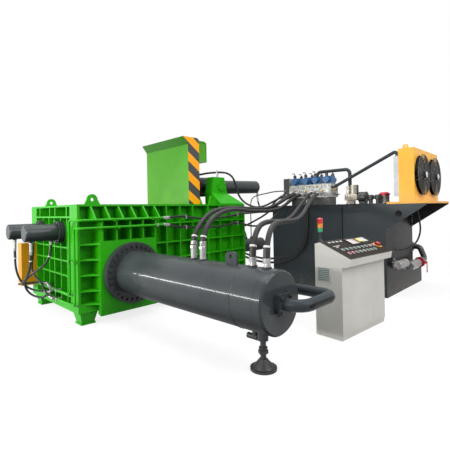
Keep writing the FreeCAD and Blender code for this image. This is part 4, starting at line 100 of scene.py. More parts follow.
class Nodes:
    """A small helper for the node tree of one material."""

    def __init__(self, name):
        self.material = bpy.data.materials.new(name)
        self.material.use_nodes = True
        self.tree = self.material.node_tree
        self.shader = self.tree.nodes["Principled BSDF"]
        self.place = self.add("ShaderNodeTexCoord").outputs["Object"]

    def add(self, kind, **values):
        node = self.tree.nodes.new(kind)
        for name, value in values.items():
            setattr(node, name, value)
        return node

    def link(self, source, target):
        self.tree.links.new(source, target)

    def noise(self, scale, detail=4.0, rough=0.55, stretch=None):
        node = self.add("ShaderNodeTexNoise")
        node.inputs["Scale"].default_value = scale
        node.inputs["Detail"].default_value = detail
        node.inputs["Roughness"].default_value = rough
        place = self.place
        if stretch:
            mapping = self.add("ShaderNodeMapping")
            mapping.inputs["Scale"].default_value = stretch
            self.link(place, mapping.inputs["Vector"])
            place = mapping.outputs["Vector"]
        self.link(place, node.inputs["Vector"])
        return node.outputs["Fac"]

    def span(self, value, low, high, to_low=0.0, to_high=1.0, smooth=False):
        node = self.add("ShaderNodeMapRange", clamp=True)
        if smooth:
            node.interpolation_type = "SMOOTHSTEP"
        self.link(value, node.inputs["Value"])
        for name, number in (("From Min", low), ("From Max", high), ("To Min", to_low), ("To Max", to_high)):
            node.inputs[name].default_value = number
        return node.outputs["Result"]

    def math(self, kind, first, second=0.0):
        node = self.add("ShaderNodeMath", operation=kind)
        for socket, value in zip(node.inputs, (first, second)):
            if isinstance(value, (int, float)):
                socket.default_value = value
            else:
                self.link(value, socket)
        return node.outputs["Value"]

    def mix(self, factor, first, second):
        node = self.add("ShaderNodeMix", data_type="RGBA")
        self.link(factor, node.inputs["Factor"])
        for socket, value in ((node.inputs[6], first), (node.inputs[7], second)):
            if isinstance(value, tuple):
                socket.default_value = (*value, 1)
            else:
                self.link(value, socket)
        return node.outputs[2]

    def part(self, name):
        node = self.add("ShaderNodeSeparateXYZ")
        self.link(self.place, node.inputs["Vector"])
        return node.outputs[name]

    def above(self, axis, limit):
        """1 where a coordinate is more than the limit, else 0."""
        return self.math("GREATER_THAN", self.part(axis), limit)

    def below(self, axis, limit):
        return self.math("LESS_THAN", self.part(axis), limit)

    def near(self, axis, middle, half):
        """1 where a coordinate is less than half away from the middle, else 0."""
        away = self.math("ABSOLUTE", self.math("SUBTRACT", self.part(axis), middle))
        return self.math("LESS_THAN", away, half)

    def both(self, first, *others):
        """1 where all of several places hold."""
        for other in others:
            first = self.math("MULTIPLY", first, other)
        return first

    def facing(self):
        """The surface's own direction at rest, split in X, Y and Z."""
        node = self.add("ShaderNodeSeparateXYZ")
        self.link(self.add("ShaderNodeTexCoord").outputs["Normal"], node.inputs["Vector"])
        return node.outputs

    def bump(self, height, strength, depth):
        node = self.add("ShaderNodeBump")
        node.inputs["Strength"].default_value = strength
        node.inputs["Distance"].default_value = depth
        self.link(height, node.inputs["Height"])
        self.link(node.outputs["Normal"], self.shader.inputs["Normal"])


FLOOR_DUST = (0.30, 0.27, 0.22)


def surface(name, colour, shade, rough=0.45, metal=0.0, patch=1.6, fine=140.0, strength=0.18, depth=0.002,
            stretch=None, coat=0.0, dust=0.0, dust_top=0.45, shape=None, specular=0.5, coat_rough=0.18):
    """A finish: two shades in soft patches, uneven gloss, a fine bump, and floor dust towards the ground.
    shape may replace the colour with one of its own, given the helper and that colour."""
    n = Nodes(name)
    large = n.span(n.noise(patch, 5.0, 0.6), 0.35, 0.68)
    small = n.span(n.noise(patch * 14, 4.0, 0.65), 0.42, 0.75, 0.0, 0.55)
    tone = n.mix(n.math("MAXIMUM", large, small), colour, shade)
    if shape:
        tone = shape(n, tone)
    if dust:
        height = n.span(n.part("Z"), 0.0, dust_top, 1.0, 0.0, True)
        speck = n.span(n.noise(9.0, 6.0, 0.7), 0.35, 0.7)
        cover = n.math("MULTIPLY", n.math("MULTIPLY", height, speck), dust)
        tone = n.mix(cover, tone, FLOOR_DUST)
    n.link(tone, n.shader.inputs["Base Color"])
    gloss = n.noise(fine * 0.35, 3.0, 0.6, stretch)
    n.link(n.span(gloss, 0.3, 0.7, max(rough - 0.07, 0.03), rough + 0.09), n.shader.inputs["Roughness"])
    n.shader.inputs["Metallic"].default_value = metal
    n.shader.inputs["Coat Weight"].default_value = coat
    n.shader.inputs["Coat Roughness"].default_value = coat_rough
    n.shader.inputs["Specular IOR Level"].default_value = specular
    n.bump(n.noise(fine, 3.0, 0.6, stretch), strength, depth)
    return n.material


GREEN = (0.024, 0.360, 0.0015)
GREEN_SHADE = (0.017, 0.285, 0.0015)

# The lid's warning stripes: height and rise of the first, distance from one to the next, and the black
# one's middle and half width in shares of that distance.
STRIPE_START = 0.717
STRIPE_RISE = 0.73
STRIPE_PERIOD = 0.370
BLACK_MIDDLE = 0.743
BLACK_HALF = 0.257
STRIPE_YELLOW = (0.95, 0.37, 0.002)
STRIPE_BLACK = (0.052, 0.054, 0.054)
STRIPE_WORN = (0.30, 0.24, 0.10)
LID_HINGE_X = 2.087
LID_PLATE_BACK = 2.3675
SUCTION_RED = (0.42, 0.010, 0.035)
FILTER_RED = (0.42, 0.02, 0.04)


def lid_stripes_and_painted_shade(n, paint):
    """The lid: darker towards its free edge and under its lip as painted shade, with warning stripes down the
    narrow sides.
    """
    rise = n.math("MULTIPLY", n.math("SUBTRACT", n.part("X"), LID_HINGE_X), STRIPE_RISE)
    slope = n.math("SUBTRACT", n.math("ADD", n.part("Z"), rise), STRIPE_START)
    turn = n.math("FRACT", n.math("DIVIDE", slope, STRIPE_PERIOD))
    dark = n.math("LESS_THAN", n.math("ABSOLUTE", n.math("SUBTRACT", turn, BLACK_MIDDLE)), BLACK_HALF)
    wear = n.span(n.noise(30.0, 4.0, 0.7), 0.62, 0.78, 0.0, 0.5)
    bands = n.mix(wear, n.mix(dark, STRIPE_YELLOW, STRIPE_BLACK), STRIPE_WORN)
    side = n.math("GREATER_THAN", n.math("ABSOLUTE", n.facing()["Y"]), 0.9)
    lip = n.math("LESS_THAN", n.facing()["Z"], -0.25)
    # Painted shade: the green darkens with height, and more on the lip's underside.
    paint = n.mix(n.span(n.part("Z"), 1.8, 2.7, 0.0, 0.55), paint, (0.040, 0.250, 0.003))
    paint = n.mix(n.math("MULTIPLY", lip, 0.8), paint, (0.022, 0.150, 0.002))
    return n.mix(n.both(side, n.below("X", LID_PLATE_BACK), n.above("Z", 1.70)), paint, bands)


def tank_near_face_tone(n, paint):
    """The tank's near face in a duller, darker colour, by its direction."""
    return n.mix(n.math("LESS_THAN", n.facing()["Y"], -0.9), paint, (0.0065, 0.0055, 0.005))


def suction_metal(n, paint):
    """Bare valve bodies and the red valve cap on the suction line, by place."""
    line = n.both(n.below("Y", -2.775), n.below("Z", 0.70))
    bare = n.mix(n.span(n.noise(14.0), 0.4, 0.6), (0.17, 0.17, 0.17), (0.30, 0.29, 0.28))
    tone = n.mix(n.both(line, n.below("X", 5.45)), paint, bare)
    return n.mix(n.both(line, n.near("X", 5.507, 0.034)), tone, SUCTION_RED)


def inside_painted_shade(n, paint):
    """Painted shade on the inside of the cooler housing, by place within its sheets."""
    sheets = n.both(n.near("X", 4.9015, 0.7195), n.above("Y", -3.209))
    inner = n.both(sheets, n.below("Z", 2.589), n.above("Z", 1.696))
    return n.mix(inner, paint, (0.020, 0.018, 0.014))


def core_front(n, paint):
    """The core's side behind the fans, in shade-black."""
    return n.mix(n.math("LESS_THAN", n.facing()["Y"], -0.5), paint, (0.016, 0.016, 0.016))


def tank_top_colours(n, paint):
    """The fittings on the tank: a black motor, a bronze column and the return filter's red head."""
    row = n.below("X", 4.42)
    motor = n.both(row, n.below("Y", -2.2))
    column = n.both(row, n.above("Y", -2.215))
    tone = n.mix(n.math("MULTIPLY", motor, 0.9), paint, (0.018, 0.024, 0.022))
    tone = n.mix(n.math("MULTIPLY", column, 0.6), tone, (0.22, 0.18, 0.13))
    corner = n.math("GREATER_THAN", n.math("SUBTRACT", n.part("X"), n.part("Y")), 7.0)
    return n.mix(n.both(corner, n.above("Z", 1.822)), tone, FILTER_RED)


def lens_colours(n, paint):
    """Green, orange and red lenses of the signal light, by height, over a dark foot."""
    tone = n.mix(n.above("Z", 1.2995), (0.03, 0.03, 0.032), (0.01, 0.35, 0.10))
    tone = n.mix(n.above("Z", 1.353), tone, (0.85, 0.25, 0.01))
    return n.mix(n.above("Z", 1.410), tone, (0.62, 0.012, 0.012))


def green_clamps(n, paint):
    """Painted clamps among the bare fittings: those on the thin lines at the left corner."""
    return n.mix(n.both(n.below("X", 1.0), n.above("Y", -0.5), n.below("Y", 0.2)), paint, GREEN)


def button_colours(n, paint):
    """Red, pale and green buttons by their place in the two rows on the desk."""
    along_x = n.math("MULTIPLY", n.math("SUBTRACT", n.part("X"), 1.786), 0.997)
    along_y = n.math("MULTIPLY", n.math("ADD", n.part("Y"), 3.087), -0.0767)
    across = n.math("ADD", along_x, along_y)
    upper = n.above("Z", 1.063)
    pale = n.both(upper, n.math("GREATER_THAN", across, 0.79))
    red = n.both(n.math("SUBTRACT", 1.0, upper), n.math("LESS_THAN", across, 0.30))
    return n.mix(red, n.mix(pale, paint, (0.62, 0.34, 0.33)), (0.55, 0.02, 0.05))


def end_block(n, paint):
    """The valve block's end block and foot in a darker finish, by place."""
    return n.mix(n.math("MAXIMUM", n.above("Y", -0.734), n.below("Z", 1.823)), paint, (0.060, 0.064, 0.058))


def coil_and_plug(n, paint):
    """Blue valve bodies and coils with black plugs, by height."""
    return n.mix(n.above("Z", 2.252), paint, (0.010, 0.011, 0.013))


def cylinder_weld_and_underside_shade(n, paint):
    """A darker weld round the main cylinder, by the place along it, and on every underside a duller coat and
    painted shade.
    """
    up = n.facing()["Z"]
    n.link(n.span(up, -0.5, -0.1, 0.03, 0.30), n.shader.inputs["Coat Weight"])
    n.link(n.span(up, -0.5, -0.1, 0.03, 0.12), n.shader.inputs["Specular IOR Level"])
    # Painted shade: a darker colour on every underside.
    paint = n.mix(n.span(up, -0.1, -0.6, 0.0, 0.6), paint, (0.014, 0.016, 0.018))
    return n.mix(n.math("MULTIPLY", n.near("Y", -2.945, 0.011), 0.7), paint, (0.030, 0.033, 0.036))


finish_of = {}


def finish(name, *values, **options):
    finish_of[name] = surface(name, *values, **options)


finish("green_paint", GREEN, GREEN_SHADE, 0.44, patch=1.1, dust=0.06, coat=0.03, specular=0.18)
# The lid's green is lighter than the body's: partly its own paint, partly painted light on its face.
finish("lid_paint", (0.098, 0.380, 0.012), (0.066, 0.300, 0.006), 0.36, patch=1.7, coat=0.1,
        shape=lid_stripes_and_painted_shade, specular=0.3)
# The yellow is set a little darker than the paint's own, as painted shade.
finish("yellow_paint", (0.62, 0.270, 0.004), (0.53, 0.210, 0.004), 0.42, patch=2.2, coat=0.1,
        specular=0.3)
finish("cylinder_paint", (0.044, 0.050, 0.053), (0.029, 0.035, 0.039), 0.42, patch=2.4,
        shape=cylinder_weld_and_underside_shade, coat_rough=0.10)
finish("tank_paint", (0.042, 0.050, 0.057), (0.029, 0.036, 0.042), 0.40, patch=0.9, coat=0.06,
        dust=0.25, dust_top=0.35, shape=tank_near_face_tone, specular=0.12)
finish("chromed_rod", (0.72, 0.73, 0.75), (0.62, 0.63, 0.66), 0.12, 1.0, patch=3.0, strength=0.04,
        stretch=(1, 1, 30))
finish("dark_steel", (0.020, 0.021, 0.023), (0.036, 0.033, 0.030), 0.48, 0.3, patch=9.0)
finish("bright_steel", (0.52, 0.53, 0.54), (0.34, 0.34, 0.34), 0.30, 0.9, patch=12.0, fine=260.0)
finish("bare_aluminium", (0.66, 0.67, 0.68), (0.52, 0.53, 0.54), 0.36, 0.8, patch=4.0, fine=200.0,
        stretch=(1, 1, 14))
finish("hose_rubber", (0.0075, 0.0078, 0.0085), (0.013, 0.0125, 0.012), 0.50, patch=7.0, fine=420.0,
        strength=0.25, specular=0.35)
finish("desk_steel", (0.62, 0.61, 0.56), (0.54, 0.53, 0.49), 0.40, 0.15, patch=2.0, fine=90.0,
        strength=0.06, stretch=(1, 1, 0.06), dust=0.2, dust_top=0.25)
finish("panel_plastic", (0.023, 0.018, 0.0145), (0.030, 0.024, 0.0195), 0.60, patch=8.0, fine=500.0,
        specular=0.08)
finish("button_plastic", (0.16, 0.30, 0.27), (0.12, 0.25, 0.22), 0.30, patch=30.0)
finish("red_plastic", (0.55, 0.010, 0.012), (0.42, 0.008, 0.010), 0.30, patch=20.0, fine=300.0,
        strength=0.08, coat=0.3)
finish("black_plastic", (0.012, 0.012, 0.013), (0.024, 0.023, 0.022), 0.42, patch=6.0,
        specular=0.35)
finish("fitting_steel", (0.46, 0.46, 0.45), (0.24, 0.24, 0.24), 0.32, 0.75, patch=22.0, fine=260.0)
finish("brass", (0.62, 0.42, 0.16), (0.40, 0.26, 0.10), 0.30, 0.8, patch=20.0, fine=260.0)
finish("screen_glass", (0.62, 0.56, 0.53), (0.54, 0.48, 0.46), 0.22, patch=12.0, fine=400.0,
        strength=0.04, coat=0.3)
finish("pale_card", (0.54, 0.55, 0.53), (0.47, 0.48, 0.46), 0.6, patch=40.0, fine=500.0)
finish("yellow_card", (0.80, 0.66, 0.16), (0.72, 0.58, 0.12), 0.6, patch=40.0, fine=500.0)
finish("vent_shade", (0.16, 0.26, 0.22), (0.12, 0.20, 0.17), 0.6, patch=40.0, fine=500.0)
finish("orange_ring", (0.90, 0.36, 0.02), (0.80, 0.30, 0.02), 0.45, patch=40.0, fine=500.0)
finish("pale_band", (0.70, 0.69, 0.66), (0.52, 0.51, 0.49), 0.5, patch=30.0, fine=300.0)
finish("coil_plastic", (0.020, 0.115, 0.290), (0.012, 0.075, 0.200), 0.36, patch=14.0,
        shape=coil_and_plug)

# Nodes that show more than one finish, by place.
special = {
    "valve_manifold": surface(
        "valve_block", (0.46, 0.46, 0.44), (0.26, 0.26, 0.25), 0.40, 0.35, patch=9.0, shape=end_block),
    "tank_top_fittings": surface(
        "tank_fittings", (0.40, 0.40, 0.39), (0.16, 0.15, 0.14), 0.34, 0.7, patch=7.0,
        shape=tank_top_colours),
    "tower_light": surface(
        "tower_lenses", (0.5, 0.5, 0.5), (0.5, 0.5, 0.5), 0.22, patch=30.0, coat=0.4, shape=lens_colours),
    "pump_set": surface(
        "pump_paint", (0.036, 0.043, 0.050), (0.024, 0.030, 0.036), 0.38, 0.15, patch=3.0, coat=0.15,
        shape=suction_metal),
    # Orange paint on the cooler housing, with painted shade on its inside.
    "cooler_housing": surface(
        "cooler_paint_and_inside_shade", (0.90, 0.465, 0.028), (0.82, 0.390, 0.020), 0.42, patch=2.2, coat=0.1, specular=0.3,
        shape=inside_painted_shade),
    "cooler_shelf": surface(
        "shelf_paint", (0.90, 0.440, 0.020), (0.80, 0.360, 0.014), 0.42, patch=2.2, coat=0.1, specular=0.3),
    "cooler_core": surface(
        "core_metal", (0.42, 0.43, 0.44), (0.34, 0.35, 0.36), 0.40, 0.35, patch=4.0, fine=200.0,
        stretch=(1, 1, 14), shape=core_front),
    "hose_fittings": surface(
        "pipe_fittings", (0.46, 0.46, 0.45), (0.26, 0.26, 0.26), 0.34, 0.5, patch=16.0, shape=green_clamps),
    "push_buttons": surface(
        "button_colours", (0.10, 0.26, 0.22), (0.07, 0.20, 0.17), 0.30, patch=30.0, shape=button_colours),
}
slot_of = {part["node"]: part["material_slot"] for part in frame["record"]["subparts"]}
for node_name, node in frame["nodes"].items():
    node.data.materials.clear()
    node.data.materials.append(special.get(node_name, finish_of[slot_of[node_name]]))


# ---- hoses: control points along each route

ROD_HOSE_A = (
    (0.59, -1.775, 1.148), (0.593, -1.774, 1.232), (0.627, -1.762, 1.312), (0.689, -1.74, 1.382),
    (0.777, -1.708, 1.452), (0.942, -1.648, 1.542), (1.162, -1.568, 1.602), (1.467, -1.458, 1.63),
    (1.908, -1.298, 1.64), (2.522, -1.075, 1.62), (3.037, -0.99, 1.608), (3.487, -0.97, 1.715),
    (3.847, -0.99, 1.87), (4.137, -1.01, 1.935),
)
ROD_HOSE_B = (
    (0.59, -1.94, 1.148), (0.593, -1.939, 1.235), (0.621, -1.93, 1.318), (0.673, -1.914, 1.392),
    (0.752, -1.889, 1.458), (0.887, -1.847, 1.526), (1.082, -1.785, 1.58), (1.357, -1.697, 1.612),
    (1.697, -1.59, 1.598), (2.237, -1.419, 1.57), (2.987, -1.27, 1.58), (3.457, -1.17, 1.7),
    (3.837, -1.125, 1.865), (4.137, -1.12, 1.9),
)
PISTON_HOSE_A = (
    (0.59, -2.707, 1.03), (0.59, -2.707, 1.167), (0.64, -2.691, 1.294), (0.732, -2.661, 1.391),
    (0.852, -2.621, 1.443), (1.107, -2.538, 1.462), (1.457, -2.41, 1.448), (1.857, -2.24, 1.433),
    (2.337, -2.032, 1.48), (2.837, -1.825, 1.61), (3.337, -1.63, 1.745), (3.777, -1.45, 1.868),
    (4.137, -1.34, 1.935),
)
PISTON_HOSE_B = (
    (0.59, -2.888, 1.03), (0.59, -2.888, 1.167), (0.639, -2.87, 1.294), (0.73, -2.837, 1.391),
    (0.849, -2.794, 1.443), (1.102, -2.71, 1.464), (1.457, -2.58, 1.452), (1.857, -2.422, 1.45),
    (2.337, -2.222, 1.515), (2.837, -1.995, 1.64), (3.337, -1.78, 1.758), (3.777, -1.575, 1.855),
    (4.137, -1.47, 1.9),
)
LID_HEAD_HOSE = (
    (2.798, 0.744, 2.378), (2.798, 0.62, 2.378), (2.847, 0.485, 2.398), (2.937, 0.358, 2.41),
    (3.052, 0.18, 2.41), (3.137, 0.083, 2.384), (3.225, 0.027, 2.302), (3.287, 0.02, 2.178),
    (3.347, 0.035, 2.045), (3.412, 0.035, 1.91), (3.487, -0.02, 1.785), (3.577, -0.12, 1.695),
    (3.687, -0.24, 1.645), (3.817, -0.37, 1.68), (3.937, -0.5, 1.775), (4.042, -0.64, 1.86),
    (4.137, -0.78, 1.9),
)
LID_END_HOSE = (
    (5.0188, 0.835, 2.086), (5.024, 0.835, 1.947), (4.987, 0.785, 1.805), (4.897, 0.67, 1.68),
    (4.767, 0.48, 1.612), (4.627, 0.25, 1.6), (4.487, 0.02, 1.64), (4.372, -0.18, 1.74),
    (4.307, -0.37, 1.86), (4.287, -0.545, 1.93),
)
WALL_HOSE_UPPER = (
    (1.187, -0.36, 1.5), (1.347, -0.343, 1.506), (1.527, -0.26, 1.512), (1.725, -0.205, 1.504),
    (1.977, -0.198, 1.47), (2.217, -0.202, 1.45), (2.487, -0.2, 1.448), (2.787, -0.196, 1.475),
    (3.074, -0.202, 1.508), (3.267, -0.225, 1.528), (3.457, -0.28, 1.536), (3.627, -0.375, 1.55),
    (3.767, -0.49, 1.612), (3.887, -0.62, 1.72), (3.997, -0.75, 1.85), (4.137, -0.855, 1.965),
)
WALL_HOSE_LOWER = (
    (1.187, -0.36, 1.39), (1.337, -0.342, 1.366), (1.527, -0.255, 1.33), (1.725, -0.205, 1.318),
    (1.957, -0.198, 1.3), (2.197, -0.2, 1.29), (2.467, -0.198, 1.286), (2.737, -0.198, 1.3),
    (2.927, -0.2, 1.328), (3.074, -0.202, 1.336), (3.277, -0.22, 1.305), (3.447, -0.275, 1.255),
    (3.617, -0.37, 1.26), (3.757, -0.49, 1.34), (3.887, -0.62, 1.49), (3.987, -0.73, 1.66),
    (4.052, -0.82, 1.8), (4.137, -0.91, 1.87),
)
SIDE_HOSE = (
    (4.122, -1.215, 1.8), (4.121, -1.21, 1.5), (4.119, -1.2, 1.18), (4.117, -1.16, 0.92),
    (4.107, -1.05, 0.72), (4.087, -0.87, 0.57), (4.052, -0.65, 0.475), (3.997, -0.4, 0.43),
    (3.917, -0.15, 0.436), (3.822, 0.07, 0.485), (3.717, 0.28, 0.58), (3.637, 0.465, 0.665),
    (3.602, 0.63, 0.698),
)
LOCK_HOSE_FRONT = (
    (-0.585, 0.425, 1.06), (-0.587, 0.44, 0.9), (-0.593, 0.52, 0.745), (-0.599, 0.67, 0.625),
    (-0.603, 0.85, 0.55), (-0.603, 1.032, 0.515), (-0.53, 1.132, 0.5), (-0.413, 1.17, 0.49),
    (-0.296, 1.132, 0.488), (-0.223, 1.032, 0.489), (-0.223, 0.89, 0.49),
)
LOCK_HOSE_REAR = (
    (-0.585, 1.245, 1.06), (-0.584, 1.251, 0.89), (-0.575, 1.248, 0.725), (-0.538, 1.23, 0.575),
    (-0.468, 1.19, 0.455), (-0.368, 1.13, 0.375), (-0.273, 1.03, 0.352), (-0.223, 0.89, 0.359),
)
LOCK_RETURN_FRONT = (
    (-0.313, 0.425, 1.186), (-0.315, 0.426, 1.06), (-0.341, 0.452, 0.93), (-0.395, 0.515, 0.82),
    (-0.463, 0.615, 0.745), (-0.52, 0.755, 0.668), (-0.555, 0.885, 0.56), (-0.51, 0.96, 0.43),
    (-0.435, 0.93, 0.33), (-0.35, 0.8, 0.3), (-0.3, 0.69, 0.34), (-0.261, 0.605, 0.438),
)
LOCK_RETURN_REAR = (
    (-0.313, 1.245, 1.186), (-0.315, 1.245, 1.04), (-0.328, 1.243, 0.9), (-0.348, 1.23, 0.78),
    (-0.363, 1.17, 0.68), (-0.358, 1.07, 0.61), (-0.333, 0.96, 0.56), (-0.318, 0.84, 0.5),
    (-0.313, 0.73, 0.42), (-0.303, 0.64, 0.35), (-0.261, 0.57, 0.308),
)
RETURN_HOSE = (
    (4.205, -0.82, 1.845), (4.027, -0.815, 1.845), (3.882, -0.735, 1.795), (3.837, -0.6, 1.672),
    (3.847, -0.44, 1.555), (3.867, -0.27, 1.462), (3.887, -0.07, 1.38), (3.917, 0.14, 1.3),
    (3.957, 0.33, 1.24), (4.037, 0.5, 1.205), (4.152, 0.65, 1.19), (4.287, 0.76, 1.18),
    (4.427, 0.822, 1.13), (4.53, 0.835, 0.965), (4.537, 0.835, 0.885),
)
TWIN_HOSE = (
    (4.205, -1.35, 1.84), (4.105, -1.35, 1.838), (3.945, -1.346, 1.76), (3.895, -1.33, 1.6),
    (3.917, -1.3, 1.45), (3.927, -1.28, 1.2), (3.927, -1.22, 0.96), (3.917, -1.1, 0.78),
    (3.897, -0.91, 0.65), (3.877, -0.66, 0.57), (3.857, -0.39, 0.53), (3.837, -0.13, 0.535),
    (3.812, 0.13, 0.58), (3.782, 0.34, 0.645), (3.763, 0.49, 0.69), (3.762, 0.648, 0.698),
)
THIN_LINE = (
    (4.207, -0.64, 1.995), (4.147, -0.634, 1.995), (4.057, -0.545, 1.992), (4.042, -0.41, 1.986),
    (4.107, -0.25, 1.975), (4.257, 0.05, 1.96), (4.437, 0.35, 1.948), (4.577, 0.58, 1.93),
    (4.677, 0.74, 1.88), (4.729, 0.822, 1.77), (4.737, 0.835, 1.62), (4.737, 0.835, 1.3),
    (4.737, 0.835, 0.885),
)
FAN_CABLE = (
    (4.966, -3.01, 1.653), (5.017, -3.01, 1.56), (5.167, -3.01, 1.33), (5.237, -3.005, 1.13),
    (5.137, -2.97, 0.93), (4.957, -2.9, 0.83), (4.797, -2.83, 0.8), (4.737, -2.77, 0.798),
)


def route_curve(name, points, radius):
    """A smooth hose along given control points."""
    data = bpy.data.curves.new(name, "CURVE")
    data.dimensions = "3D"
    data.bevel_depth = radius
    data.bevel_resolution = 3
    data.use_fill_caps = True
    data.resolution_u = 8
    spline = data.splines.new("NURBS")
    spline.points.add(len(points) - 1)
    for point, place in zip(spline.points, points):
        point.co = (*place, 1)
    spline.order_u = 3
    spline.use_endpoint_u = True
    data.materials.append(finish_of["hose_rubber"])
    return new_object(name, data)


# ---- small pieces built in mesh code

# Edges sharper than this, in degrees, stay crisp.
SHARP_EDGE = 32
# The body of everything that doesn't move.
BASE = "machine"


def frame_of(axis):
    """Two directions square to an axis."""
    axis = axis.normalized()
    side = axis.cross(Z if abs(axis.z) < 0.9 else X).normalized()
    return side, axis.cross(side)


def circle(centre, side, other, radius, count, first=0.0):
    """Places on a circle, from its middle and two directions square to each other."""
    turns = [2 * math.pi * step / count + first for step in range(count)]
    return [centre + side * (radius * math.cos(turn)) + other * (radius * math.sin(turn)) for turn in turns]


def bridge(bm, low, high):
    """Faces between two rings of points; a ring of one point is a tip."""
    count = max(len(low), len(high))
    if count == 1:
        return
    for step in range(count):
        after = (step + 1) % count
        if len(low) == 1:
            bm.faces.new((low[0], high[after], high[step]))
        elif len(high) == 1:
            bm.faces.new((low[step], low[after], high[0]))
        else:
            bm.faces.new((low[step], low[after], high[after], high[step]))


def lathe(bm, start, axis, profile, segments=16, closed=True):
    """Turn an outline of (radius, distance) pairs round an axis."""
    axis = axis.normalized()
    side, other = frame_of(axis)
    rings = []
    for radius, distance in profile:
        centre = start + axis * distance
        places = circle(centre, side, other, radius, segments) if radius > 1e-6 else [centre]
        rings.append([bm.verts.new(place) for place in places])
    pairs = list(zip(rings, rings[1:]))
    if closed:
        pairs.append((rings[-1], rings[0]))
    for low, high in pairs:
        bridge(bm, low, high)


def disc(bm, start, axis, radius, height, segments=20):
    lathe(bm, start, axis, ((0, 0), (radius, 0), (radius, height), (0, height)), segments)


def slab(bm, start, across, along, up, bevel=0.0):
    """A block from a corner and its three edges, with its edges broken when bevel is set."""
    corners = []
    for k in (0, 1):
        for j in (0, 1):
            for i in (0, 1):
                corners.append(bm.verts.new(start + across * i + along * j + up * k))
    faces = []
    for quad in ((0, 2, 3, 1), (4, 5, 7, 6), (0, 1, 5, 4), (2, 6, 7, 3), (0, 4, 6, 2), (1, 3, 7, 5)):
        faces.append(bm.faces.new([corners[i] for i in quad]))
    if bevel:
        edges = {edge for face in faces for edge in face.edges}
        bmesh.ops.bevel(bm, geom=list(edges), offset=bevel, segments=2, affect="EDGES", profile=0.5)


def hexagon(bm, start, axis, radius, height):
    """A hexagon bolt head on a thin washer, with a domed top."""
    disc(bm, start, axis, radius * 1.35, height * 0.18, 14)
    lathe(bm, start, axis, ((0, height * 0.1), (radius, height * 0.1), (radius, height * 0.85),
                            (radius * 0.82, height), (0, height)), 6)


def wire(bm, points, radius, sides=6):
    """A thin round wire through points, with flat ends."""
    rings = []
    for place, point in enumerate(points):
        before = points[max(place - 1, 0)]
        after = points[min(place + 1, len(points) - 1)]
        side, other = frame_of(after - before)
        rings.append([bm.verts.new(spot) for spot in circle(point, side, other, radius, sides)])
    for low, high in zip(rings, rings[1:]):
        bridge(bm, low, high)
    bm.faces.new(list(reversed(rings[0])))
    bm.faces.new(rings[-1])


def piece(name, slot, build, look=None, body=BASE):
    """One mesh piece: built, given its slot's finish or another look, and set to ride on a body."""
    bm = bmesh.new()
    build(bm)
    bmesh.ops.recalc_face_normals(bm, faces=bm.faces)
    mesh = bpy.data.meshes.new(name)
    bm.to_mesh(mesh)
    bm.free()
    mesh.materials.append(finish_of[look or slot])
    mesh.shade_smooth()
    made = new_object(name, mesh)
    edge = made.modifiers.new("edges", "EDGE_SPLIT")
    edge.split_angle = math.radians(SHARP_EDGE)
    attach(made, body)
    return made


# ---- hoses along their routes

# A ferrule's length in hose radii, by itself and where a sleeve follows it.
FERRULE = 4.0
SHORT_FERRULE = 2.9


def route_line(smooth):
    """The points of a hose's smooth line, without its thickness."""
    data = smooth.data.copy()
    data.bevel_depth = 0.0
    bare = bpy.data.objects.new("line", data)
    mesh = bpy.data.meshes.new_from_object(bare)
    line = [vertex.co.copy() for vertex in mesh.vertices]
    bpy.data.objects.remove(bare)
    bpy.data.curves.remove(data)
    bpy.data.meshes.remove(mesh)
    return line


def along(line, distance):
    """The place and the direction at a distance along a line."""
    for low, high in zip(line, line[1:]):
        step = (high - low).length
        if distance <= step or high is line[-1]:
            return low + (high - low) * (distance / step), (high - low).normalized()
        distance -= step


def sleeve(bm, line, profile, sides=18):
    """Turn a closed outline of (distance, radius) pairs round a hose's line."""
    rings = []
    side = frame_of(along(line, profile[0][0])[1])[0]
    for distance, radius in profile:
        centre, way = along(line, distance)
        side = (side - way * side.dot(way)).normalized()
        rings.append([bm.verts.new(spot) for spot in circle(centre, side, way.cross(side), radius, sides)])
    for low, high in zip(rings, rings[1:] + rings[:1]):
        bridge(bm, low, high)


def band(bm, line, start, end, radius, inner):
    """A band or sleeve on a hose, between two distances along it."""
    steps = max(1, round((end - start) / 0.03))
    places = [start + (end - start) * step / steps for step in range(steps + 1)]
    outline = [(place, radius) for place in places] + [(place, inner) for place in reversed(places)]
    sleeve(bm, line, outline)


def hose_end(bm, line, radius, reach=FERRULE):
    """A crimped ferrule with its swivel nut on the first stretch of a line, some radii long."""
    inner = radius * 0.8
    nut = 1.2 * radius
    sleeve(bm, line, ((0.0, inner), (0.0, radius * 1.42), (nut * 0.85, radius * 1.42), (nut, radius * 1.32),
                      (nut, inner)), 6)
    grip = [(nut, inner), (nut, radius * 1.10), (nut * 1.25, radius * 1.33)]
    for share in (0.25, 0.5, 0.75):
        groove = nut + (reach * radius - nut) * share
        for step, size in ((0.0, 1.33), (0.1, 1.24), (0.2, 1.33)):
            grip.append((groove + step * radius, radius * size))
    end = reach * radius
    grip += [(end - 0.1 * radius, radius * 1.30), (end, radius * 1.06), (end, inner)]
    sleeve(bm, line, grip)


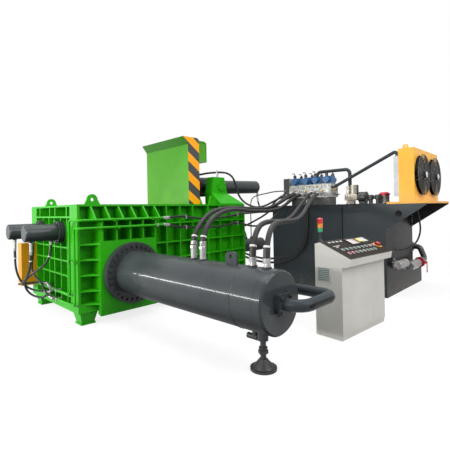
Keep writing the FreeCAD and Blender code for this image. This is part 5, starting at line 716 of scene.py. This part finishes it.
def pieces_on(name, line, radius, sleeve_end=0.0, pale_end=0.0, far=True, body=BASE):
    """The metal ends of a hose, and its protecting sleeve with a pale band at the sleeve's end. What is on
    its first end rides on the body."""
    reach = SHORT_FERRULE if sleeve_end else FERRULE
    made = [piece(name + "_ends", "bright_steel", lambda bm: hose_end(bm, line, radius, reach),
                  "fitting_steel", body)]
    if far:
        made.append(piece(name + "_far_end", "bright_steel",
                          lambda bm: hose_end(bm, list(reversed(line)), radius), "fitting_steel"))
    if sleeve_end:
        made.append(piece(
            name + "_sleeve", "black_plastic",
            lambda bm: band(bm, line, 2.8 * radius, sleeve_end, radius * 1.20, radius * 0.9), None, body))
    if pale_end:
        start = sleeve_end or 3.9 * radius
        made.append(piece(
            name + "_band", "bare_aluminium",
            lambda bm: band(bm, line, start, pale_end, radius * 1.28, radius * 0.9), "pale_band", body))
    return made


def free_cord(name, points, radius, node=None, sleeve_end=0.0, pale_end=0.0,
              far=True):
    """A smooth hose on its route with its ends. Where it stands for a node of the model, it replaces that
    node."""
    smooth = route_curve(name, points, radius)
    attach(smooth, BASE)
    if node:
        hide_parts(node)
    ends = pieces_on(name, route_line(smooth), radius, sleeve_end, pale_end, far)


def hose(node, points, radius, sleeve_end=0.0, pale_end=0.0):
    """The smooth hose that stands for a hose node."""
    free_cord(node + "_smooth", points, radius, node, sleeve_end, pale_end)


def swinging_hose(node, points, radius, body, pale_end=0.0):
    """The smooth hose from a moving body's port; the pieces on its first end ride on that body."""
    route = route_curve(node + "_route", points, radius)
    line = route_line(route)
    mesh = bpy.data.meshes.new_from_object(route)
    bpy.data.objects.remove(route)
    smooth = new_object(node + "_smooth", mesh)
    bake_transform(smooth)
    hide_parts(node)
    ends = pieces_on(smooth.name, line, radius, pale_end=pale_end, body=body)


hose("rod_hose_a", ROD_HOSE_A, 0.031, sleeve_end=0.135, pale_end=0.153)
hose("rod_hose_b", ROD_HOSE_B, 0.031, sleeve_end=0.135, pale_end=0.153)
hose("piston_hose_a", PISTON_HOSE_A, 0.030, sleeve_end=0.187, pale_end=0.206)
hose("piston_hose_b", PISTON_HOSE_B, 0.030, sleeve_end=0.187, pale_end=0.206)
swinging_hose("lid_head_hose", LID_HEAD_HOSE, 0.021, "lid_cylinder")
swinging_hose("lid_end_hose", LID_END_HOSE, 0.021, "lid_cylinder",
              pale_end=0.30)
hose("wall_hose_upper", WALL_HOSE_UPPER, 0.020)
hose("wall_hose_lower", WALL_HOSE_LOWER, 0.020)
hose("side_hose", SIDE_HOSE, 0.024)
hose("lock_hose_front", LOCK_HOSE_FRONT, 0.016, sleeve_end=0.125, pale_end=0.14)
hose("lock_hose_rear", LOCK_HOSE_REAR, 0.016, sleeve_end=0.150, pale_end=0.165)
free_cord("lock_return_front", LOCK_RETURN_FRONT, 0.016, sleeve_end=0.212, pale_end=0.227)
free_cord("lock_return_rear", LOCK_RETURN_REAR, 0.016)
free_cord("return_hose", RETURN_HOSE, 0.020)
free_cord("twin_hose", TWIN_HOSE, 0.022)
free_cord("thin_line", THIN_LINE, 0.013)
free_cord("fan_cable", FAN_CABLE, 0.016, far=False)


# ---- fasteners and fittings

# Shared places in millimetres: lock cylinders and their ports, directional valves, fans, the tank's near
# face, its cover's bolt lines, and the valve block's left and near faces.
LOCK_Y = (735, 1555)
LOCK_PORT_X = (-422, -150)
VALVE_Y = (-1316, -1066, -843, -580)
FAN_X = (4694.5, 5434.5)
FAN_Z = 2150
TANK_NEAR_Y = -2455
COVER_X = (4352, 5767)
COVER_Z = 1674
BLOCK_LEFT_X = 4370
BLOCK_NEAR_Y = -1386


def bolt_row(bm, places, axis, radius, height):
    for place in places:
        hexagon(bm, at(*place), axis, radius, height)


def ring_of(centre, axis, radius, count, first=0.0):
    """Places on a circle round an axis, in metres."""
    side, other = frame_of(axis)
    return circle(centre, side, other, radius, count, first)


def socket_screw(bm, start, axis, radius, height):
    """A socket head screw: a round head with a hexagon recess."""
    lathe(bm, start, axis, ((0, 0), (radius, 0), (radius, height * 0.9), (radius * 0.9, height),
                            (radius * 0.55, height), (radius * 0.5, height * 0.5), (0, height * 0.5)), 14)


def bracket_bolts(bm):
    levels = range(1230, 1631, 50)
    bolt_row(bm, [(x, -2447, z) for x in (4372, 4408, 5711, 5747) for z in levels], -Y, 0.0095, 0.012)


def lock_screws(bm):
    for y in LOCK_Y:
        for place in ring_of(at(-80, y, 1322), X, 0.142, 10, 0.2):
            socket_screw(bm, place, -X, 0.013, 0.014)


def cap_bolts(bm):
    """Four bolts on the square flange of the main cylinder's closed end, and the side cylinder's ring."""
    bolt_row(bm, [(753 + x, -2800, 698 + z) for x in (-72, 72) for z in (-72, 72)], -Y, 0.017, 0.022)
    for place in ring_of(at(3594, 1145, 698), X, 0.206, 16):
        hexagon(bm, place, X, 0.016, 0.020)


def cover_bolts(bm):
    """Hexagon heads along the edges of the tank's cover."""
    edge = [(x, y, COVER_Z) for x in COVER_X for y in range(-2360, 0, 160)]
    ends = [(x, y, COVER_Z) for x in range(4512, 5700, 160) for y in (-2412, 2)]
    bolt_row(bm, edge + ends, Z, 0.010, 0.009)


def collar_bolts(bm):
    """Bolts on the two suction collars at the tank's near face."""
    for x, z in ((5180, 490), (4640, 580)):
        for place in ring_of(at(x, TANK_NEAR_Y, z), Y, 0.077, 8, 0.3):
            hexagon(bm, place, -Y, 0.010, 0.012)


def valve_screws(bm):
    """Two cap screws in the top of each directional valve."""
    for y in VALVE_Y:
        for x in (4425, 4535):
            for side in (-52, 52):
                socket_screw(bm, at(x, y + side, 2250), Z, 0.008, 0.008)


def block_plugs(bm):
    """Hexagon plugs, gauge points and small adapters on the valve block's left and near faces."""
    for y, z, size in ((-1340, 2060, 16), (-1250, 2050, 13), (-1170, 2055, 16), (-1000, 2050, 13),
                       (-910, 2055, 18), (-640, 2050, 13), (-1330, 1960, 20), (-1340, 1865, 15),
                       (-940, 1960, 15), (-1240, 1870, 18), (-880, 1855, 15), (-760, 2050, 16)):
        radius = size / 1000
        disc(bm, at(BLOCK_LEFT_X, y, z), -X, radius * 1.5, 0.006, 16)
        lathe(bm, at(BLOCK_LEFT_X - 6, y, z), -X,
              ((0, 0), (radius, 0), (radius, 0.016), (radius * 0.8, 0.020), (0, 0.020)), 6)
    for x, z, size in ((4420, 2050, 18), (4500, 1900, 24), (4600, 2050, 18), (4630, 1880, 18),
                       (4525, 2045, 14)):
        radius = size / 1000
        disc(bm, at(x, BLOCK_NEAR_Y, z), -Y, radius * 1.4, 0.008, 16)
        thin = radius * 0.7
        lathe(bm, at(x, BLOCK_NEAR_Y - 8, z), -Y,
              ((0, 0), (radius, 0), (radius, 0.022), (thin, 0.026), (thin, 0.050), (0, 0.050)), 6)


def brass_caps(bm):
    """Brass screw-in valves between the plugs on the valve block."""
    for x, y, z, axis in ((BLOCK_LEFT_X, -1090, 2045, -X), (BLOCK_LEFT_X, -830, 1960, -X),
                          (BLOCK_LEFT_X, -1210, 1960, -X), (4560, BLOCK_NEAR_Y, 1980, -Y),
                          (4440, BLOCK_NEAR_Y, 1975, -Y)):
        lathe(bm, at(x, y, z), axis, ((0, 0), (0.019, 0), (0.019, 0.018), (0.013, 0.022), (0.013, 0.052),
                                      (0.008, 0.058), (0, 0.058)), 12)


def plug_glands(bm):
    """A short curved gland on each coil's plug."""
    for y in VALVE_Y:
        for x in (4352, 4607):
            start = at(x, y, 2304)
            arc = [start + Z * (0.006 + 0.045 * math.sin(turn)) + Y * (0.045 * (1 - math.cos(turn)))
                   for turn in [math.pi * 0.62 * step / 8 for step in range(9)]]
            wire(bm, arc, 0.009, 10)
            disc(bm, start, Z, 0.016, 0.012, 12)


def lock_fittings(bm):
    """Swivel nuts between the lock cylinders' ports and their hoses, and the tees on the thin lines."""
    for y in LOCK_Y:
        for x in LOCK_PORT_X:
            disc(bm, at(x, y, 1188), -Z, 0.026, 0.012)
        disc(bm, at(LOCK_PORT_X[0], y, 1176), -Z, 0.025, 0.040, 6)
        lathe(bm, at(LOCK_PORT_X[0], y, 1136), -Z, ((0, 0), (0.023, 0), (0.023, 0.074), (0.019, 0.078),
                                                   (0, 0.078)), 18)
    for y, z in ((915, 438), (880, 308)):
        disc(bm, at(-104, y, z), X, 0.020, 0.034, 6)
        lathe(bm, at(-60, y - 34, z), Y, ((0.0165, 0), (0.027, 0), (0.027, 0.068), (0.0165, 0.068)), 18)


def side_ports(bm):
    """Welded ports for the lines on the side cylinder."""
    for x in (4700, 4900):
        lathe(bm, at(x, 1145, 858), Z, ((0, 0), (0.034, 0), (0.034, 0.040), (0.028, 0.046), (0, 0.046)), 20)
    disc(bm, at(3925, 1000, 698), -Y, 0.040, 0.040)


def guard_wires(bm):
    """The fine rings of both fan guards."""
    for x in FAN_X:
        for radius in range(110, 342, 11):
            points = [at(x + radius * math.cos(turn), -2963, FAN_Z + radius * math.sin(turn))
                      for turn in [2 * math.pi * step / 48 for step in range(49)]]
            wire(bm, points, 0.0030, 5)


def motor_stars(bm):
    """A bright star-shaped cap on each fan motor."""
    for x in FAN_X:
        centre = at(x, -3000, FAN_Z)
        lathe(bm, centre, -Y, ((0, 0), (0.052, 0), (0.052, 0.004), (0.022, 0.006), (0.022, 0.014),
                               (0.016, 0.017), (0, 0.017)), 24)
        for place in ring_of(centre, Y, 0.038, 5, 0.3):
            hexagon(bm, place, -Y, 0.006, 0.010)


def cooler_rivets(bm):
    """Rivets up the near edges of the cooler's front sheet."""
    for x in (4352, 5064.5, 5776):
        for z in range(1730, 2580, 94):
            lathe(bm, at(x, -2905, z), -Y, ((0, 0), (0.009, 0), (0.007, 0.004), (0, 0.006)), 12)


piece("bracket_bolts", "bright_steel", bracket_bolts)
piece("lock_screws", "dark_steel", lock_screws)
piece("cap_bolts", "dark_steel", cap_bolts)
piece("cover_bolts", "dark_steel", cover_bolts)
piece("collar_bolts", "bright_steel", collar_bolts)
piece("valve_screws", "dark_steel", valve_screws)
piece("block_plugs", "bright_steel", block_plugs, "fitting_steel")
piece("brass_caps", "bright_steel", brass_caps, "brass")
piece("plug_glands", "black_plastic", plug_glands)
piece("lock_fittings", "bright_steel", lock_fittings, "fitting_steel")
piece("side_ports", "cylinder_paint", side_ports)
piece("guard_wires", "dark_steel", guard_wires)
piece("motor_stars", "bare_aluminium", motor_stars)
piece("cooler_rivets", "yellow_paint", cooler_rivets)


# ---- the desk's fittings

# The desk's turn about Z, its panel's slope, and where the buttons sit along the panel.
DESK_TURN = math.radians(-4.4)
PANEL_SLOPE = math.atan2(180, 416)
UPPER_BUTTONS = [154 + 785 * step / 8 for step in range(9)]
LOWER_BUTTONS = [162 + 660 * step / 7 for step in range(8)]


def desk(u, v, z):
    """A point of the desk: u along its width, v into its depth, z above the floor, in millimetres."""
    x = 1949 + u * math.cos(DESK_TURN) - v * math.sin(DESK_TURN)
    y = -2777 + u * math.sin(DESK_TURN) + v * math.cos(DESK_TURN)
    return at(x, y, z)


def panel(u, w, lift):
    """A point over the desk's panel: u along its width, w up its slope, lift square to it."""
    return desk(u, -116 + w * math.cos(PANEL_SLOPE) - lift * math.sin(PANEL_SLOPE),
                992 + w * math.sin(PANEL_SLOPE) + lift * math.cos(PANEL_SLOPE))


PANEL_UP = (panel(0, 0, 1) - panel(0, 0, 0)).normalized()
DESK_LEFT = (desk(0, 0, 0) - desk(1, 0, 0)).normalized()


def plate(bm, u, w, low, high, bevel=0.0):
    """A plate lying on the desk's panel."""
    start = panel(u[0], w[0], low)
    slab(bm, start, panel(u[1], w[0], low) - start, panel(u[0], w[1], low) - start,
         panel(u[0], w[0], high) - start, bevel)


def panel_edge(bm):
    """A black edge strip round the panel and the dark border of the screen."""
    for u, w in (((0, 12), (0, 452)), ((1088, 1100), (0, 452)), ((12, 1088), (0, 10)),
                 ((12, 1088), (440, 452))):
        plate(bm, u, w, 0, 9, 0.0015)
    for u, w in (((502, 524), (264, 436)), ((726, 748), (264, 436)), ((524, 726), (264, 286)),
                 ((524, 726), (414, 436))):
        plate(bm, u, w, 18, 20, 0.0006)


def screen(bm):
    plate(bm, (525, 725), (287, 413), 14, 16, 0.0006)


def cards(bm):
    """Blank label plates under the buttons, beside the screen and on the raised card."""
    for row, w in ((UPPER_BUTTONS, 222), (LOWER_BUTTONS, 130)):
        for u in row:
            plate(bm, (u - 15, u + 15), (w, w + 12), 8, 9.2, 0.0004)
    for u in (110, 200, 290, 380):
        plate(bm, (u, u + 58), (392, 416), 8, 9.5, 0.0004)
    plate(bm, (84, 232), (300, 312), 8, 9.5, 0.0004)
    plate(bm, (868, 1010), (318, 424), 8, 13, 0.001)


def yellow_card(bm):
    plate(bm, (792, 900), (330, 420), 8, 11, 0.001)


def button_rims(bm):
    """A bright rim round each push button, and the key switch on the left."""
    for u, w in [(u, 200) for u in UPPER_BUTTONS] + [(u, 108) for u in LOWER_BUTTONS]:
        lathe(bm, panel(u, w, 8), PANEL_UP, ((0.0155, 0), (0.021, 0), (0.0205, 0.004), (0.0155, 0.006)), 20)
    lathe(bm, panel(120, 270, 8), PANEL_UP,
          ((0, 0), (0.017, 0), (0.016, 0.010), (0.009, 0.012), (0.009, 0.020), (0, 0.020)), 20)


def stop_ring(bm):
    lathe(bm, panel(1032, 190, 8), PANEL_UP, ((0.0425, 0), (0.062, 0), (0.062, 0.003), (0.0425, 0.003)), 32)


def vent(bm):
    """A framed vent grille with slanted slats on the desk's left side."""

    def bar(v, z, thick, lean=0.0):
        start = desk(0, v[0], z[0])
        slab(bm, start, DESK_LEFT * thick, desk(0, v[1], z[0]) - start,
             desk(0, v[0], z[1]) - start + DESK_LEFT * lean, 0.0008)

    for v, z in (((152, 168), (672, 868)), ((332, 348), (672, 868)), ((168, 332), (672, 688)),
                 ((168, 332), (852, 868))):
        bar(v, z, 0.009)
    for step in range(7):
        low = 692 + 23 * step
        bar((168, 332), (low, low + 13), 0.002, 0.006)


# A thin sheet behind the slats, in painted shade.
def vent_back(bm):
    start = desk(0, 168, 688)
    slab(bm, start, DESK_LEFT * 0.0008, desk(0, 332, 688) - start, desk(0, 168, 852) - start)


def light_foot(bm):
    """Black foot and neck of the signal light."""
    lathe(bm, desk(60, 330, 1171), Z, ((0, 0), (0.036, 0), (0.034, 0.012), (0.020, 0.030), (0.015, 0.060),
                                      (0.015, 0.128), (0, 0.128)), 20)


piece("panel_edge", "black_plastic", panel_edge)
piece("screen", "panel_plastic", screen, "screen_glass")
piece("cards", "button_plastic", cards, "pale_card")
piece("yellow_card", "button_plastic", yellow_card, "yellow_card")
piece("button_rims", "bare_aluminium", button_rims)
piece("stop_ring", "red_plastic", stop_ring, "orange_ring")
piece("vent", "desk_steel", vent, "pale_card")
piece("vent_back", "desk_steel", vent_back, "vent_shade")
piece("light_foot", "black_plastic", light_foot)


# ---- surroundings

# The floor fades to white between two distances from its middle. Lamps: name, place, aim, size and power.
STAGE_MIDDLE = (3.0, 0.0, -0.004)
FADE = (3.6, 8.5)
FLOOR_LIFT = 0.80
WORLD_LIGHT = 0.36
LAMPS = (
    ("key", (2.5, -8.5, 6.5), (2.0, 0.0, 1.0), (6.0, 6.0), 540.0),
    ("left", (-6.5, -2.0, 4.5), (1.0, 0.5, 1.0), (5.0, 5.0), 380.0),
    ("top", (2.5, -0.5, 8.5), (2.5, -0.5, 0.0), (7.0, 7.0), 500.0),
    ("strip", (-4.6, 3.2, 1.75), (0.6, 3.2, 1.2), (8.5, 0.32), 420.0),
)


def seen_rays(tree):
    """1 for rays that show the background: straight to the camera, or by way of metal or glass."""
    rays = tree.nodes.new("ShaderNodeLightPath")
    seen = rays.outputs["Is Camera Ray"]
    for name in ("Is Glossy Ray", "Is Transmission Ray"):
        either = tree.nodes.new("ShaderNodeMath")
        either.operation = "MAXIMUM"
        tree.links.new(seen, either.inputs[0])
        tree.links.new(rays.outputs[name], either.inputs[1])
        seen = either.outputs["Value"]
    return seen


def floor_paint():
    """Pale floor that keeps the machine's shadow and fades to white away from it."""
    n = Nodes("floor_paint")
    n.link(n.mix(n.span(n.noise(3.0, 5.0), 0.3, 0.7), (0.23, 0.23, 0.23), (0.20, 0.20, 0.20)),
           n.shader.inputs["Base Color"])
    n.shader.inputs["Roughness"].default_value = 0.9
    n.shader.inputs["Specular IOR Level"].default_value = 0.1
    distance = n.add("ShaderNodeVectorMath", operation="DISTANCE")
    n.link(n.place, distance.inputs[0])
    distance.inputs[1].default_value = (STAGE_MIDDLE[0], STAGE_MIDDLE[1], 0.0)
    far = n.span(distance.outputs["Value"], *FADE, 0.0, 1.0, True)
    seen = seen_rays(n.tree)
    white = n.add("ShaderNodeEmission")
    lift = n.add("ShaderNodeEmission")
    n.link(n.math("MULTIPLY", seen, FLOOR_LIFT), lift.inputs["Strength"])
    lit = n.add("ShaderNodeAddShader")
    n.link(n.shader.outputs["BSDF"], lit.inputs[0])
    n.link(lift.outputs["Emission"], lit.inputs[1])
    blend = n.add("ShaderNodeMixShader")
    n.link(n.math("MULTIPLY", far, seen), blend.inputs["Fac"])
    n.link(lit.outputs["Shader"], blend.inputs[1])
    n.link(white.outputs["Emission"], blend.inputs[2])
    n.link(blend.outputs["Shader"], n.tree.nodes["Material Output"].inputs["Surface"])
    return n.material


def make_floor():
    bm = bmesh.new()
    lathe(bm, Vector(STAGE_MIDDLE), Z, ((0, 0), (6, 0), (14, 0), (60, 0)), 48, closed=False)
    mesh = bpy.data.meshes.new("floor")
    bm.to_mesh(mesh)
    bm.free()
    mesh.materials.append(floor_paint())
    floor = new_object("floor", mesh)


def make_world():
    """A soft even light, with white behind the machine."""
    world = bpy.data.worlds.new("studio")
    bpy.context.scene.world = world
    world.use_nodes = True
    tree = world.node_tree
    tree.nodes.clear()
    soft = tree.nodes.new("ShaderNodeBackground")
    soft.inputs["Color"].default_value = (0.98, 0.99, 1.0, 1)
    soft.inputs["Strength"].default_value = WORLD_LIGHT
    white = tree.nodes.new("ShaderNodeBackground")
    white.inputs["Color"].default_value = (1, 1, 1, 1)
    blend = tree.nodes.new("ShaderNodeMixShader")
    out = tree.nodes.new("ShaderNodeOutputWorld")
    tree.links.new(seen_rays(tree), blend.inputs["Fac"])
    tree.links.new(soft.outputs["Background"], blend.inputs[1])
    tree.links.new(white.outputs["Background"], blend.inputs[2])
    tree.links.new(blend.outputs["Shader"], out.inputs["Surface"])


def make_lamps():
    """Soft area lamps, each turned to its aim."""
    for name, place, aim, size, power in LAMPS:
        data = bpy.data.lights.new(name, "AREA")
        data.shape = "RECTANGLE"
        data.size, data.size_y = size
        data.energy = power
        lamp = new_object(name, data)
        lamp.location = place
        lamp.rotation_euler = (Vector(aim) - Vector(place)).to_track_quat("-Z", "Y").to_euler()


make_floor()
make_world()
make_lamps()
bpy.context.scene.view_settings.view_transform = "Standard"
